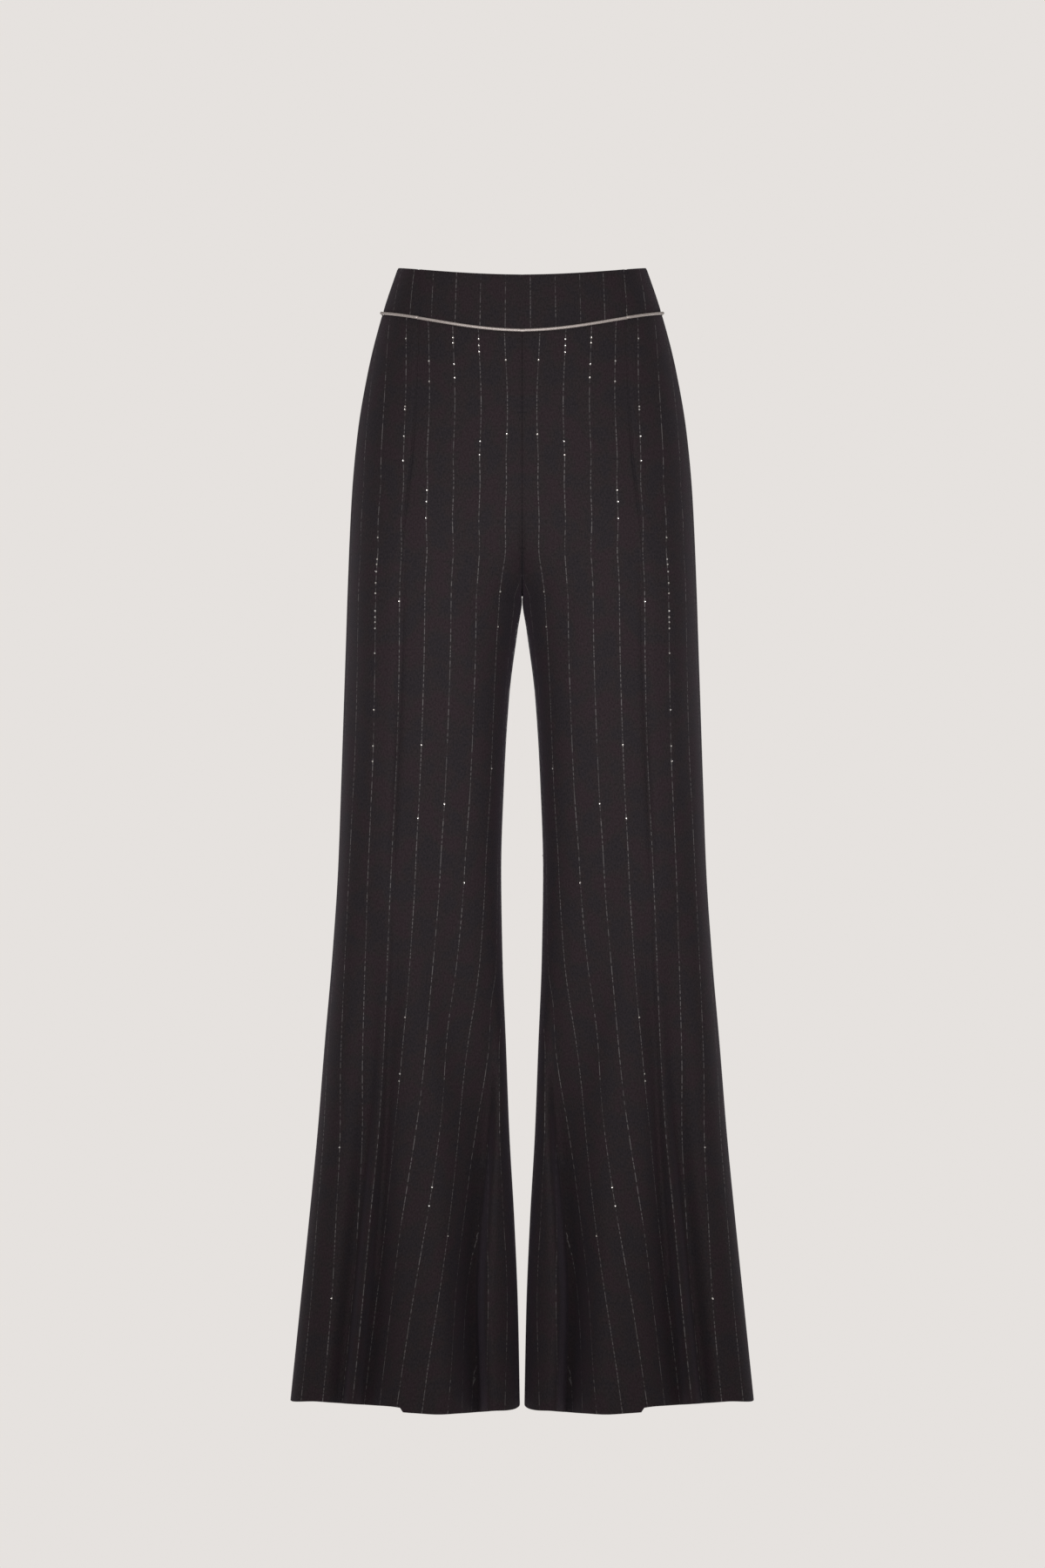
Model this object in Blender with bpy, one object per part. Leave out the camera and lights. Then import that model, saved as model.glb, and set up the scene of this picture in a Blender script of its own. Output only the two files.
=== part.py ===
"""High-waisted flared trousers, hollow and filled out as worn.

The cloth is a thin wall all the way round. One surface, worked out from the sections and fold
tables below, gives the outside of the whole garment: each panel, the waistband and the zip's
tape are cut from it, and the piping follows it along the waist seam.

Metres, +Z up. The front faces -Y and the wearer's left is at +X. The origin is the middle of the
waist opening, half way up the waistband.
"""

import math

import bmesh
import bpy
import numpy as np
from mathutils import Matrix

# Cloth
WALL = 0.0015
SEAM_GAP = 0.0003

# Heights of the garment at its side seams
WAIST_TOP = 0.0222
WAIST_SEAM = -0.0224
CROTCH = -0.3044
HEM = -1.0948

# How far the waistband's edges dip or rise at the centre, and how early the curve starts
FRONT_TOP_DIP = 0.0066
FRONT_TOP_BEND = 1.4
FRONT_SEAM_DIP = 0.0158
FRONT_SEAM_BEND = 1.9
BACK_TOP_DIP = -0.0020
BACK_SEAM_DIP = 0.0045
DIP_ENDS_BELOW = -0.200

# How much lower the front of the waistband's edges lies than the side seam, as they tip forward
FRONT_TOP_TILT = 0.0094
FRONT_SEAM_TILT = 0.0101

# The front hem hangs lower inside this line than outside it
HEM_STEP_ACROSS = 0.1177
HEM_STEP_WIDTH = 0.0030
HEM_STEP_ABOVE_CROTCH = 0.072

# How much lower the hem hangs than at the side seam, by its distance from the centre of the
# garment. In each fold it hangs lower still, by this share of the fold's depth.
FOLD_HANGS_LOWER = 0.135
HEM_COLUMNS = ("across", "drop")
FRONT_HEM = (
    (0.0000, 0.0040),
    (0.0124, 0.0028),
    (0.0293, 0.0013),
    (0.0592, 0.0028),
    (0.0825, 0.0041),
    (0.1012, 0.0034),
    (HEM_STEP_ACROSS - HEM_STEP_WIDTH / 2, 0.0028),
    (HEM_STEP_ACROSS + HEM_STEP_WIDTH / 2, -0.0015),
    (0.1350, -0.0027),
    (0.2000, -0.0034),
    (0.2290, -0.0002),
)
BACK_HEM = (
    (0.0000, 0.0040),
    (0.0300, 0.0010),
    (0.0600, 0.0000),
    (0.2290, 0.0000),
)

# Roundness of a section: 2 is an ellipse, more is squarer
ROUNDNESS = 2.6

# Height over the crotch at which the rise seam has come out to the full depth, and at which the
# fullest place of a section has moved from the middle of the leg almost to the centre
FRONT_RISE = 0.110
BACK_RISE = 0.140
TRUNK_IS_ONE_ROUND = 0.260
LEAST_NOTCH = 0.05
LEAST_MIDDLE = 0.05

# Half of the garment at each height: how far out the side seam is, half of the gap between the
# legs, the depth in front of and behind the side seams, and how much the front is fuller
# towards the inside of the leg.
SECTION_COLUMNS = ("height", "outer", "gap", "front", "back", "skew")
SECTIONS = (
    (0.030, 0.1195, 0.0000, 0.0830, 0.0860, 0.00),
    (-0.022, 0.1371, 0.0000, 0.0870, 0.0915, 0.00),
    (-0.078, 0.1515, 0.0000, 0.0920, 0.1030, 0.00),
    (-0.143, 0.1625, 0.0000, 0.0955, 0.1150, 0.00),
    (-0.207, 0.1682, 0.0000, 0.0965, 0.1200, 0.00),
    (-0.304, 0.1724, 0.0000, 0.0910, 0.1090, 0.00),
    (-0.335, 0.1734, 0.0043, 0.0885, 0.1035, 0.00),
    (-0.401, 0.1756, 0.0127, 0.0835, 0.0945, 0.00),
    (-0.487, 0.1785, 0.0179, 0.0775, 0.0850, 0.00),
    (-0.573, 0.1817, 0.0206, 0.0720, 0.0785, 0.00),
    (-0.659, 0.1875, 0.0193, 0.0690, 0.0765, 0.00),
    (-0.745, 0.1950, 0.0159, 0.0680, 0.0780, 0.05),
    (-0.831, 0.2020, 0.0126, 0.0680, 0.0810, 0.15),
    (-0.917, 0.2104, 0.0077, 0.0680, 0.0850, 0.25),
    (-1.003, 0.2193, 0.0041, 0.0680, 0.0885, 0.35),
    (-1.095, 0.2288, 0.0022, 0.0680, 0.0910, 0.42),
)

# Folds, each a valley that runs down a leg: at each height its distance from the centre of the
# garment, its depth, and how wide its outer and its inner slope are.
VALLEY_COLUMNS = ("height", "across", "depth", "outer_slope", "inner_slope")
FRONT_VALLEYS = {
    "outside_crease": (
        (-0.045, 0.1130, 0.0000, 0.0120, 0.0090),
        (-0.235, 0.1270, 0.0000, 0.0120, 0.0090),
        (-0.570, 0.1400, 0.0000, 0.0120, 0.0100),
        (-0.655, 0.1444, 0.0030, 0.0120, 0.0095),
        (-0.740, 0.1461, 0.0100, 0.0110, 0.0075),
        (-0.825, 0.1514, 0.0170, 0.0095, 0.0056),
        (-0.910, 0.1594, 0.0205, 0.0088, 0.0048),
        (-0.995, 0.1678, 0.0220, 0.0080, 0.0046),
        (-1.095, 0.1783, 0.0225, 0.0075, 0.0046),
    ),
    "inside_crease": (
        (-0.032, 0.0975, 0.0000, 0.0014, 0.0080),
        (-0.055, 0.0985, 0.0018, 0.0014, 0.0080),
        (-0.110, 0.1008, 0.0016, 0.0014, 0.0090),
        (-0.235, 0.1118, 0.0014, 0.0014, 0.0100),
        (-0.370, 0.1165, 0.0022, 0.0014, 0.0110),
        (-0.570, 0.1240, 0.0025, 0.0018, 0.0120),
        (-0.655, 0.1245, 0.0050, 0.0028, 0.0110),
        (-0.740, 0.1286, 0.0100, 0.0042, 0.0070),
        (-0.825, 0.1325, 0.0150, 0.0048, 0.0060),
        (-0.910, 0.1388, 0.0205, 0.0050, 0.0090),
        (-0.995, 0.1455, 0.0260, 0.0050, 0.0125),
        (-1.095, 0.1545, 0.0295, 0.0050, 0.0130),
    ),
    "beside_inner_flute": (
        (-0.045, 0.0400, 0.0000, 0.0100, 0.0090),
        (-0.400, 0.0500, 0.0000, 0.0130, 0.0090),
        (-0.655, 0.0400, 0.0020, 0.0160, 0.0080),
        (-0.740, 0.0325, 0.0100, 0.0190, 0.0065),
        (-0.825, 0.0354, 0.0270, 0.0170, 0.0056),
        (-0.910, 0.0418, 0.0430, 0.0155, 0.0052),
        (-0.995, 0.0460, 0.0520, 0.0135, 0.0050),
        (-1.095, 0.0432, 0.0560, 0.0120, 0.0050),
    ),
    "knee_hollow": (
        (-0.470, 0.1000, 0.0000, 0.0150, 0.0170),
        (-0.570, 0.0966, 0.0045, 0.0150, 0.0170),
        (-0.655, 0.0834, 0.0075, 0.0150, 0.0180),
        (-0.740, 0.0660, 0.0100, 0.0145, 0.0180),
        (-0.825, 0.0540, 0.0060, 0.0150, 0.0180),
        (-0.910, 0.0500, 0.0000, 0.0160, 0.0180),
    ),
}
BACK_VALLEYS = {
    "outer": (
        (-0.045, 0.1170, 0.0000, 0.0110, 0.0100),
        (-0.640, 0.1480, 0.0000, 0.0110, 0.0100),
        (-0.800, 0.1600, 0.0080, 0.0110, 0.0100),
        (-0.950, 0.1740, 0.0160, 0.0100, 0.0085),
        (-1.095, 0.1860, 0.0200, 0.0090, 0.0080),
    ),
    "middle": (
        (-0.045, 0.0760, 0.0000, 0.0090, 0.0120),
        (-0.600, 0.1050, 0.0000, 0.0110, 0.0130),
        (-0.750, 0.1120, 0.0080, 0.0110, 0.0140),
        (-0.900, 0.1200, 0.0200, 0.0100, 0.0140),
        (-1.095, 0.1280, 0.0300, 0.0090, 0.0130),
    ),
    "inner": (
        (-0.045, 0.0330, 0.0000, 0.0090, 0.0080),
        (-0.680, 0.0480, 0.0000, 0.0120, 0.0090),
        (-0.850, 0.0520, 0.0120, 0.0140, 0.0085),
        (-1.000, 0.0580, 0.0260, 0.0140, 0.0080),
        (-1.095, 0.0600, 0.0320, 0.0140, 0.0075),
    ),
}

# The crease, pressed from the waist tuck to the hem: its distance from the centre
CREASE_COLUMNS = ("height", "across")
CREASE = (
    (-0.045, 0.1008),
    (-0.110, 0.1034),
    (-0.167, 0.1068),
    (-0.235, 0.1143),
    (-0.302, 0.1187),
    (-0.369, 0.1193),
    (-0.445, 0.1213),
    (-0.570, 0.1274),
    (-0.655, 0.1310),
    (-0.740, 0.1346),
    (-0.825, 0.1399),
    (-0.910, 0.1481),
    (-0.995, 0.1559),
    (-1.095, 0.1660),
)

# The lines down a panel that its columns of faces follow, from the side seam inwards: the
# valley, how many slopes out of (+) or in from (-) its bottom the line lies, and the number of
# faces between the line before and this one. The last entry is the number of faces that is left.
FRONT_LINES = (
    ("outside_crease", 2.0, 4),
    ("outside_crease", 0.0, 2),
    ("crease", 0.0, 2),
    ("inside_crease", 0.0, 3),
    ("inside_crease", -2.0, 3),
    ("hem_step", 0.5, 1),
    ("hem_step", -0.5, 1),
    ("beside_inner_flute", 2.0, 2),
    ("beside_inner_flute", 0.0, 3),
    ("beside_inner_flute", -2.0, 3),
)
FRONT_LAST_FACES = 4
BACK_LINES = (
    ("outer", 2.0, 4),
    ("outer", 0.0, 2),
    ("outer", -2.0, 2),
    ("middle", 2.0, 1),
    ("middle", 0.0, 3),
    ("middle", -2.0, 3),
    ("inner", 2.0, 1),
    ("inner", 0.0, 2),
    ("inner", -2.0, 2),
)
BACK_LAST_FACES = 4
LEAST_LINE_SPACING = 0.0022

# Rows of faces, from the hem up
LEG_ROWS = 14
RISE_ROWS = 6
TRUNK_ROWS = 5
WAISTBAND_ROWS = 2
WAISTBAND_HALF_FACES = 14
SECTION_SAMPLES = 600

# Piping in the waist seam
PIPING_RADIUS = 0.0015
PIPING_SIDES = 6
PIPING_HALF_SEGMENTS = 26

# Zip in the centre-back seam
ZIP_GAP = 0.0016
ZIP_END = CROTCH + BACK_RISE
ZIP_TAPE_TOP = 0.0205
ZIP_TAPE_WIDTH = 0.024
ZIP_TAPE_THICKNESS = 0.0010
ZIP_CHAIN_WIDTH = 0.0010
ZIP_CHAIN_SIDE = 0.0001
ZIP_CHAIN_TOP = 0.008
ZIP_CHAIN_END = 0.0005
ZIP_TAPE_GAP = 0.0006
SLIDER_HEIGHT = 0.0165
SLIDER_PLATE = (0.0060, 0.0018, 0.0110)
SLIDER_PLATE_DROP = 0.0015
SLIDER_NECK = (0.0010, 0.0040)
SLIDER_BEVEL = 0.0004
BRIDGE_WIDTH = 0.0012
BRIDGE_REACH = 0.0026
BRIDGE_THICKNESS = 0.0008
TAB_THICKNESS = 0.0009
TAB_BAR = 0.0010
TAB_EYE = (0.0022, 0.0039)
TAB_ARM = 0.0011
TAB_LENGTH = 0.0220
TAB_END_WIDTH = 0.0054
TURNING_CLEARANCE = 0.0003
UNION_BITE = 0.0003

FRONT = -1
BACK = 1

# Colours are linear; the last two numbers of a row are roughness and metallic
MATERIALS = {
    "suiting": (0.0190, 0.0160, 0.0175, 0.85, 0.0),
    "piping": (0.4500, 0.3800, 0.3400, 0.45, 0.0),
    "zip_tape": (0.0120, 0.0110, 0.0120, 0.80, 0.0),
    "zip_metal": (0.3000, 0.2900, 0.2800, 0.30, 1.0),
}


def through(heights, values, z):
    """A smooth curve through a table's values that doesn't overshoot them, read at heights z."""
    order = np.argsort(heights)
    knots = np.asarray(heights, float)[order]
    levels = np.asarray(values, float)[order]
    step = np.diff(knots)
    slope = np.diff(levels) / step
    tangent = np.concatenate([slope[:1], np.zeros(len(knots) - 2), slope[-1:]])
    before = slope[:-1]
    after = slope[1:]
    keeps_on = before * after > 0
    total = np.where(keeps_on, before + after, 1.0)
    tangent[1:-1] = np.where(keeps_on, 2 * before * after / total, 0.0)
    z = np.clip(z, knots[0], knots[-1])
    k = np.clip(np.searchsorted(knots, z, side="right") - 1, 0, len(knots) - 2)
    t = (z - knots[k]) / step[k]
    ends = levels[k] * (1 + 2 * t) * (1 - t) ** 2 + levels[k + 1] * t * t * (3 - 2 * t)
    bends = step[k] * (tangent[k] * t * (1 - t) ** 2 - tangent[k + 1] * t * t * (1 - t))
    return ends + bends


def read(table, columns, name, z):
    """A named column of a table at heights z."""
    heights = [row[0] for row in table]
    values = [row[columns.index(name)] for row in table]
    return through(heights, values, z)


def smooth_step(t):
    """0 before 0, 1 after 1 and a soft ramp between."""
    t = np.clip(t, 0.0, 1.0)
    return t * t * (3 - 2 * t)


def valley_depth(rows, x, z):
    """How far one fold takes the cloth in at a distance x from the centre."""
    across = read(rows, VALLEY_COLUMNS, "across", z)
    outer_slope = read(rows, VALLEY_COLUMNS, "outer_slope", z)
    inner_slope = read(rows, VALLEY_COLUMNS, "inner_slope", z)
    slope = np.where(x > across, outer_slope, inner_slope)
    depth = read(rows, VALLEY_COLUMNS, "depth", z)
    return depth * np.exp(-0.5 * ((x - across) / slope) ** 2)


def fold_depth(x, z, face):
    """How far all the folds together take the cloth in."""
    valleys = FRONT_VALLEYS if face == FRONT else BACK_VALLEYS
    return sum(valley_depth(rows, x, z) for rows in valleys.values())


def surface(turn, z, face):
    """Points on the garment's outside at +X. turn runs from 0 at the side seam to 1 at the inner
    edge, which is the inseam below the crotch and the centre seam above it. A section is round
    from the side seam to its fullest place, and from there in to the inner edge, where a notch
    closes the leg below the crotch and fades out over the rise."""
    outer = read(SECTIONS, SECTION_COLUMNS, "outer", z)
    gap = read(SECTIONS, SECTION_COLUMNS, "gap", z)
    depth = read(SECTIONS, SECTION_COLUMNS, "front" if face == FRONT else "back", z)
    skew = read(SECTIONS, SECTION_COLUMNS, "skew", z) if face == FRONT else 0.0
    over_crotch = z - CROTCH
    rise = over_crotch / (FRONT_RISE if face == FRONT else BACK_RISE)
    notch = 1 - np.clip(rise, 0.0, 1 - LEAST_NOTCH)
    merging = smooth_step(over_crotch / TRUNK_IS_ONE_ROUND)
    middle = (outer + gap) / 2 * (1 - (1 - LEAST_MIDDLE) * merging)
    angle = np.clip(turn, 0.0, 1.0) * np.arccos(-notch)
    outwards = np.clip(np.cos(angle), 0.0, 1.0) ** (2 / ROUNDNESS)
    inwards = np.clip(-np.cos(angle) / notch, 0.0, 1.0) ** (2 / ROUNDNESS)
    x = middle + (outer - middle) * outwards - (middle - gap) * inwards
    y = depth * np.sin(angle) ** (2 / ROUNDNESS) * (1 - skew * (outwards - inwards))
    y = y - fold_depth(x, z, face)
    return np.stack([x, face * y, z + 0 * x], axis=-1)


def outward(turn, z, face):
    """Unit normals of the surface, away from the inside of the garment."""
    nudge = 0.002
    lift = 0.0010
    low = np.clip(turn - nudge, 0.0, 1.0)
    high = np.clip(turn + nudge, 0.0, 1.0)
    along = surface(high, z, face) - surface(low, z, face)
    up = surface(turn, z + lift, face) - surface(turn, z - lift, face)
    normal = np.cross(up, along) * face * -1
    return normal / np.linalg.norm(normal, axis=-1, keepdims=True)


def dip(turn, bend):
    """The share of a waist edge's dip, from 0 at the side seam to 1 at the centre."""
    share = np.cos(math.pi * np.clip(turn, 0.0, 1.0) / 2) ** (2 / ROUNDNESS)
    return np.clip(1 - share**2, 0.0, 1.0) ** bend


def forward(turn):
    """How far forward the waist lies, from 0 at the side seam to 1 at the centre."""
    return np.sin(math.pi * np.clip(turn, 0.0, 1.0) / 2) ** (2 / ROUNDNESS)


def waist_seam(turn, face):
    """Height of the seam between panel and waistband."""
    if face == FRONT:
        dipped = FRONT_SEAM_DIP * dip(turn, FRONT_SEAM_BEND)
        return WAIST_SEAM - FRONT_SEAM_TILT * forward(turn) - dipped
    return WAIST_SEAM - BACK_SEAM_DIP * dip(turn, 1.0)


def waist_top(turn, face):
    """Height of the waistband's top edge."""
    if face == FRONT:
        dipped = FRONT_TOP_DIP * dip(turn, FRONT_TOP_BEND)
        return WAIST_TOP - FRONT_TOP_TILT * forward(turn) - dipped
    return WAIST_TOP - BACK_TOP_DIP * dip(turn, 1.0)


def panel_levels(leg_rows, rise_rows, trunk_rows, face):
    """Heights of a panel's rows at the side seam, close together just over the crotch."""
    leg = np.linspace(HEM, CROTCH, leg_rows + 1)
    rise_top = CROTCH + (FRONT_RISE if face == FRONT else BACK_RISE)
    rise = CROTCH + (rise_top - CROTCH) * np.linspace(0, 1, rise_rows + 1)[1:] ** 2
    trunk = np.linspace(rise_top, WAIST_SEAM, trunk_rows + 1)[1:]
    return np.concatenate([leg, rise, trunk])


def panel_heights(level, turn, face):
    """Heights along a row: level on the legs, bent to the waist seam at the top."""
    bend = smooth_step((level - DIP_ENDS_BELOW) / (WAIST_SEAM - DIP_ENDS_BELOW))
    top_drop = waist_seam(turn, face) - WAIST_SEAM
    return level + bend * top_drop


def line_across(name, offset, z, face):
    """Distance from the centre of one of the lines that a panel's columns follow."""
    if name == "crease":
        return read(CREASE, CREASE_COLUMNS, "across", z)
    if name == "hem_step":
        step_share = smooth_step((CROTCH - z) / (CROTCH - HEM))
        middle = HEM_STEP_ABOVE_CROTCH + (HEM_STEP_ACROSS - HEM_STEP_ABOVE_CROTCH) * step_share
        return middle + offset * HEM_STEP_WIDTH
    rows = (FRONT_VALLEYS if face == FRONT else BACK_VALLEYS)[name]
    slope = read(rows, VALLEY_COLUMNS, "outer_slope" if offset > 0 else "inner_slope", z)
    return read(rows, VALLEY_COLUMNS, "across", z) + offset * slope


def row_turns(level, lines, last_faces, face):
    """Where a row's points lie along its turn: on each line, and evenly spaced between."""
    samples = np.linspace(0.0, 1.0, SECTION_SAMPLES)
    z = panel_heights(level, samples, face)
    points = surface(samples, z, face)
    steps = np.linalg.norm(np.diff(points, axis=0), axis=1)
    length = np.concatenate([[0.0], np.cumsum(steps)])
    across = np.maximum.accumulate(-points[:, 0])
    across = across + 1e-9 * np.arange(SECTION_SAMPLES)
    stops = [0.0]
    faces = []
    for name, offset, count in lines:
        x = line_across(name, offset, level, face)
        at = float(np.interp(-x, across, length))
        stops.append(max(at, stops[-1] + count * LEAST_LINE_SPACING))
        faces.append(count)
    stops.append(length[-1])
    faces.append(last_faces)
    spare = np.array(faces[::-1]) * LEAST_LINE_SPACING
    latest = length[-1] - np.cumsum(spare)[::-1]
    stops[1:-1] = np.minimum(stops[1:-1], latest[1:])
    places = [np.linspace(a, b, n, endpoint=False) for a, b, n in zip(stops, stops[1:], faces)]
    return np.interp(np.append(np.concatenate(places), length[-1]), length, samples)


def clear_of_seams(points, face, centre_gap):
    """Keeps half a seam's gap from the side seam, the inseam and the centre."""
    points = points.copy()
    points[..., 0] = np.maximum(points[..., 0], centre_gap / 2)
    points[..., 1] = face * np.maximum(face * points[..., 1], SEAM_GAP / 2)
    return points


def hem_drop(x, face):
    """How much lower than at the side seam the hem hangs."""
    table = FRONT_HEM if face == FRONT else BACK_HEM
    drop = read(table, HEM_COLUMNS, "drop", x)
    return drop + FOLD_HANGS_LOWER * fold_depth(x, HEM + 0 * x, face)


def panel_grid(face, lines, last_faces):
    """Outer and inner points of a panel at +X, a row for each height from the hem up."""
    outer_rows = []
    inner_rows = []
    levels = panel_levels(LEG_ROWS, RISE_ROWS, TRUNK_ROWS, face)
    levels[-1] -= SEAM_GAP / 2
    for k, level in enumerate(levels):
        turn = row_turns(level, lines, last_faces, face)
        z = panel_heights(level, turn, face)
        outside = surface(turn, z, face)
        normal = outward(turn, z, face)
        if k == 0:
            outside[:, 2] -= hem_drop(outside[:, 0], face)
        centre_gap = ZIP_GAP if face == BACK and level >= ZIP_END - SEAM_GAP else SEAM_GAP
        outer_rows.append(clear_of_seams(outside, face, centre_gap))
        inner_rows.append(clear_of_seams(outside - WALL * normal, face, centre_gap))
    return np.array(outer_rows), np.array(inner_rows)


def mirrored(points):
    """The same points on the other side of the garment."""
    return points * np.array([-1.0, 1.0, 1.0])


def new_object(name, material, mesh_edit, smooth_angle=0.6):
    """An object whose mesh is a closed solid made by mesh_edit, smooth but for its edges."""
    mesh = bpy.data.meshes.new(name)
    solid = bmesh.new()
    mesh_edit(solid)
    bmesh.ops.recalc_face_normals(solid, faces=solid.faces)
    solid.to_mesh(mesh)
    solid.free()
    mesh.materials.append(material)
    mesh.shade_smooth()
    mesh.set_sharp_from_angle(angle=smooth_angle)
    made = bpy.data.objects.new(name, mesh)
    bpy.context.scene.collection.objects.link(made)
    return made


def add_sheet(solid, outer, inner):
    """A wall between two grids of points, closed along its four edges."""
    rows, columns = outer.shape[:2]
    front = [[solid.verts.new(p) for p in row] for row in outer]
    back = [[solid.verts.new(p) for p in row] for row in inner]
    for r in range(rows - 1):
        for c in range(columns - 1):
            solid.faces.new([front[r][c], front[r][c + 1], front[r + 1][c + 1], front[r + 1][c]])
            solid.faces.new([back[r][c], back[r + 1][c], back[r + 1][c + 1], back[r][c + 1]])
    for r in range(rows - 1):
        for c in (0, columns - 1):
            solid.faces.new([front[r][c], front[r + 1][c], back[r + 1][c], back[r][c]])
    for c in range(columns - 1):
        for r in (0, rows - 1):
            solid.faces.new([front[r][c + 1], front[r][c], back[r][c], back[r][c + 1]])


def make_panels(materials):
    """The four panels, each from its side seam to the inseam and the centre seam."""
    for face, place, lines, last in (
        (FRONT, "front", FRONT_LINES, FRONT_LAST_FACES),
        (BACK, "back", BACK_LINES, BACK_LAST_FACES),
    ):
        outer, inner = panel_grid(face, lines, last)
        for side, turn_over in (("left", lambda p: p), ("right", mirrored)):
            new_object(
                f"{place}_{side}",
                materials["suiting"],
                lambda solid: add_sheet(solid, turn_over(outer), turn_over(inner)),
            )


def even_turns(z_of_turn, face, faces):
    """Turns that are evenly spaced along a line round the waist."""
    samples = np.linspace(0.0, 1.0, SECTION_SAMPLES)
    points = surface(samples, z_of_turn(samples, face), face)
    length = np.concatenate([[0.0], np.cumsum(np.linalg.norm(np.diff(points, axis=0), axis=1))])
    return np.interp(np.linspace(0.0, length[-1], faces + 1), length, samples)


def waistband_grid(face):
    """Outer and inner points of half a waistband at +X, from its lower edge up."""
    turn = even_turns(waist_seam, face, WAISTBAND_HALF_FACES)
    low = waist_seam(turn, face) + SEAM_GAP / 2
    high = waist_top(turn, face)
    share = np.linspace(0.0, 1.0, WAISTBAND_ROWS + 1)[:, None]
    z = low + (high - low) * share
    turn = np.broadcast_to(turn, z.shape)
    outside = surface(turn, z, face)
    return outside, outside - WALL * outward(turn, z, face)


def make_waistband(materials):
    """A front waistband in one piece, and two back ones that part at the zip."""
    outer, inner = (clear_of_seams(points, FRONT, 0.0) for points in waistband_grid(FRONT))
    whole = [np.concatenate([p, mirrored(p)[:, -2::-1]], axis=1) for p in (outer, inner)]
    new_object("waistband_front", materials["suiting"], lambda solid: add_sheet(solid, *whole))
    half = [clear_of_seams(points, BACK, ZIP_GAP) for points in waistband_grid(BACK)]
    new_object("waistband_back_left", materials["suiting"], lambda solid: add_sheet(solid, *half))
    other = [mirrored(points) for points in half]
    new_object("waistband_back_right", materials["suiting"], lambda solid: add_sheet(solid, *other))


def add_tube(solid, path, normals, radius, sides):
    """A round bar along a path, with flat ends; normals say which way its first corner points."""
    rings = []
    ahead = np.gradient(path, axis=0)
    ahead /= np.linalg.norm(ahead, axis=1, keepdims=True)
    for point, normal, tangent in zip(path, normals, ahead):
        up = np.cross(tangent, normal)
        up /= np.linalg.norm(up)
        across = np.cross(up, tangent)
        corners = []
        for k in range(sides):
            angle = 2 * math.pi * (k + 0.5) / sides
            corners.append(point + radius * (math.cos(angle) * across + math.sin(angle) * up))
        rings.append([solid.verts.new(corner) for corner in corners])
    for low, high in zip(rings, rings[1:]):
        for k in range(sides):
            following = (k + 1) % sides
            solid.faces.new([low[k], low[following], high[following], high[k]])
    solid.faces.new(rings[0][::-1])
    solid.faces.new(rings[-1])


def piping_path(face):
    """The piping's middle line at +X, resting on the cloth over the waist seam."""
    turn = even_turns(waist_seam, face, PIPING_HALF_SEGMENTS)
    z = waist_seam(turn, face)
    normal = outward(turn, z, face)
    path = surface(turn, z, face) + (PIPING_RADIUS + SEAM_GAP) * normal
    path[0, 1] = face * SEAM_GAP / 2
    normal[0] = (1.0, 0.0, 0.0)
    normal[-1] = (0.0, face, 0.0)
    return path, normal


def make_piping(materials):
    """Piping round the waist seam, in one length in front and two behind."""
    path, normal = piping_path(FRONT)
    whole_path = np.concatenate([path, mirrored(path)[-2::-1]])
    whole_normal = np.concatenate([normal, mirrored(normal)[-2::-1]])
    new_object(
        "piping_front",
        materials["piping"],
        lambda solid: add_tube(solid, whole_path, whole_normal, PIPING_RADIUS, PIPING_SIDES),
        smooth_angle=0.9,
    )
    path, normal = piping_path(BACK)
    path[-1, 0] = ZIP_GAP / 2
    for side, turn_over in (("left", lambda p: p), ("right", mirrored)):
        new_object(
            f"piping_back_{side}",
            materials["piping"],
            lambda solid: add_tube(
                solid, turn_over(path), turn_over(normal), PIPING_RADIUS, PIPING_SIDES
            ),
            smooth_angle=0.9,
        )


def back_centre_line():
    """The centre line down the back as its panels and waistband have it, from the crotch up."""
    levels = panel_levels(LEG_ROWS, RISE_ROWS, TRUNK_ROWS, BACK)
    centre = np.ones_like(levels)
    panel = panel_heights(levels, centre, BACK)[levels > CROTCH]
    band = np.linspace(panel[-1], waist_top(np.ones(1), BACK)[0], WAISTBAND_ROWS + 1)[1:]
    z = np.concatenate([panel, band])
    return z, surface(np.ones_like(z), z, BACK)[:, 1]


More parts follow.
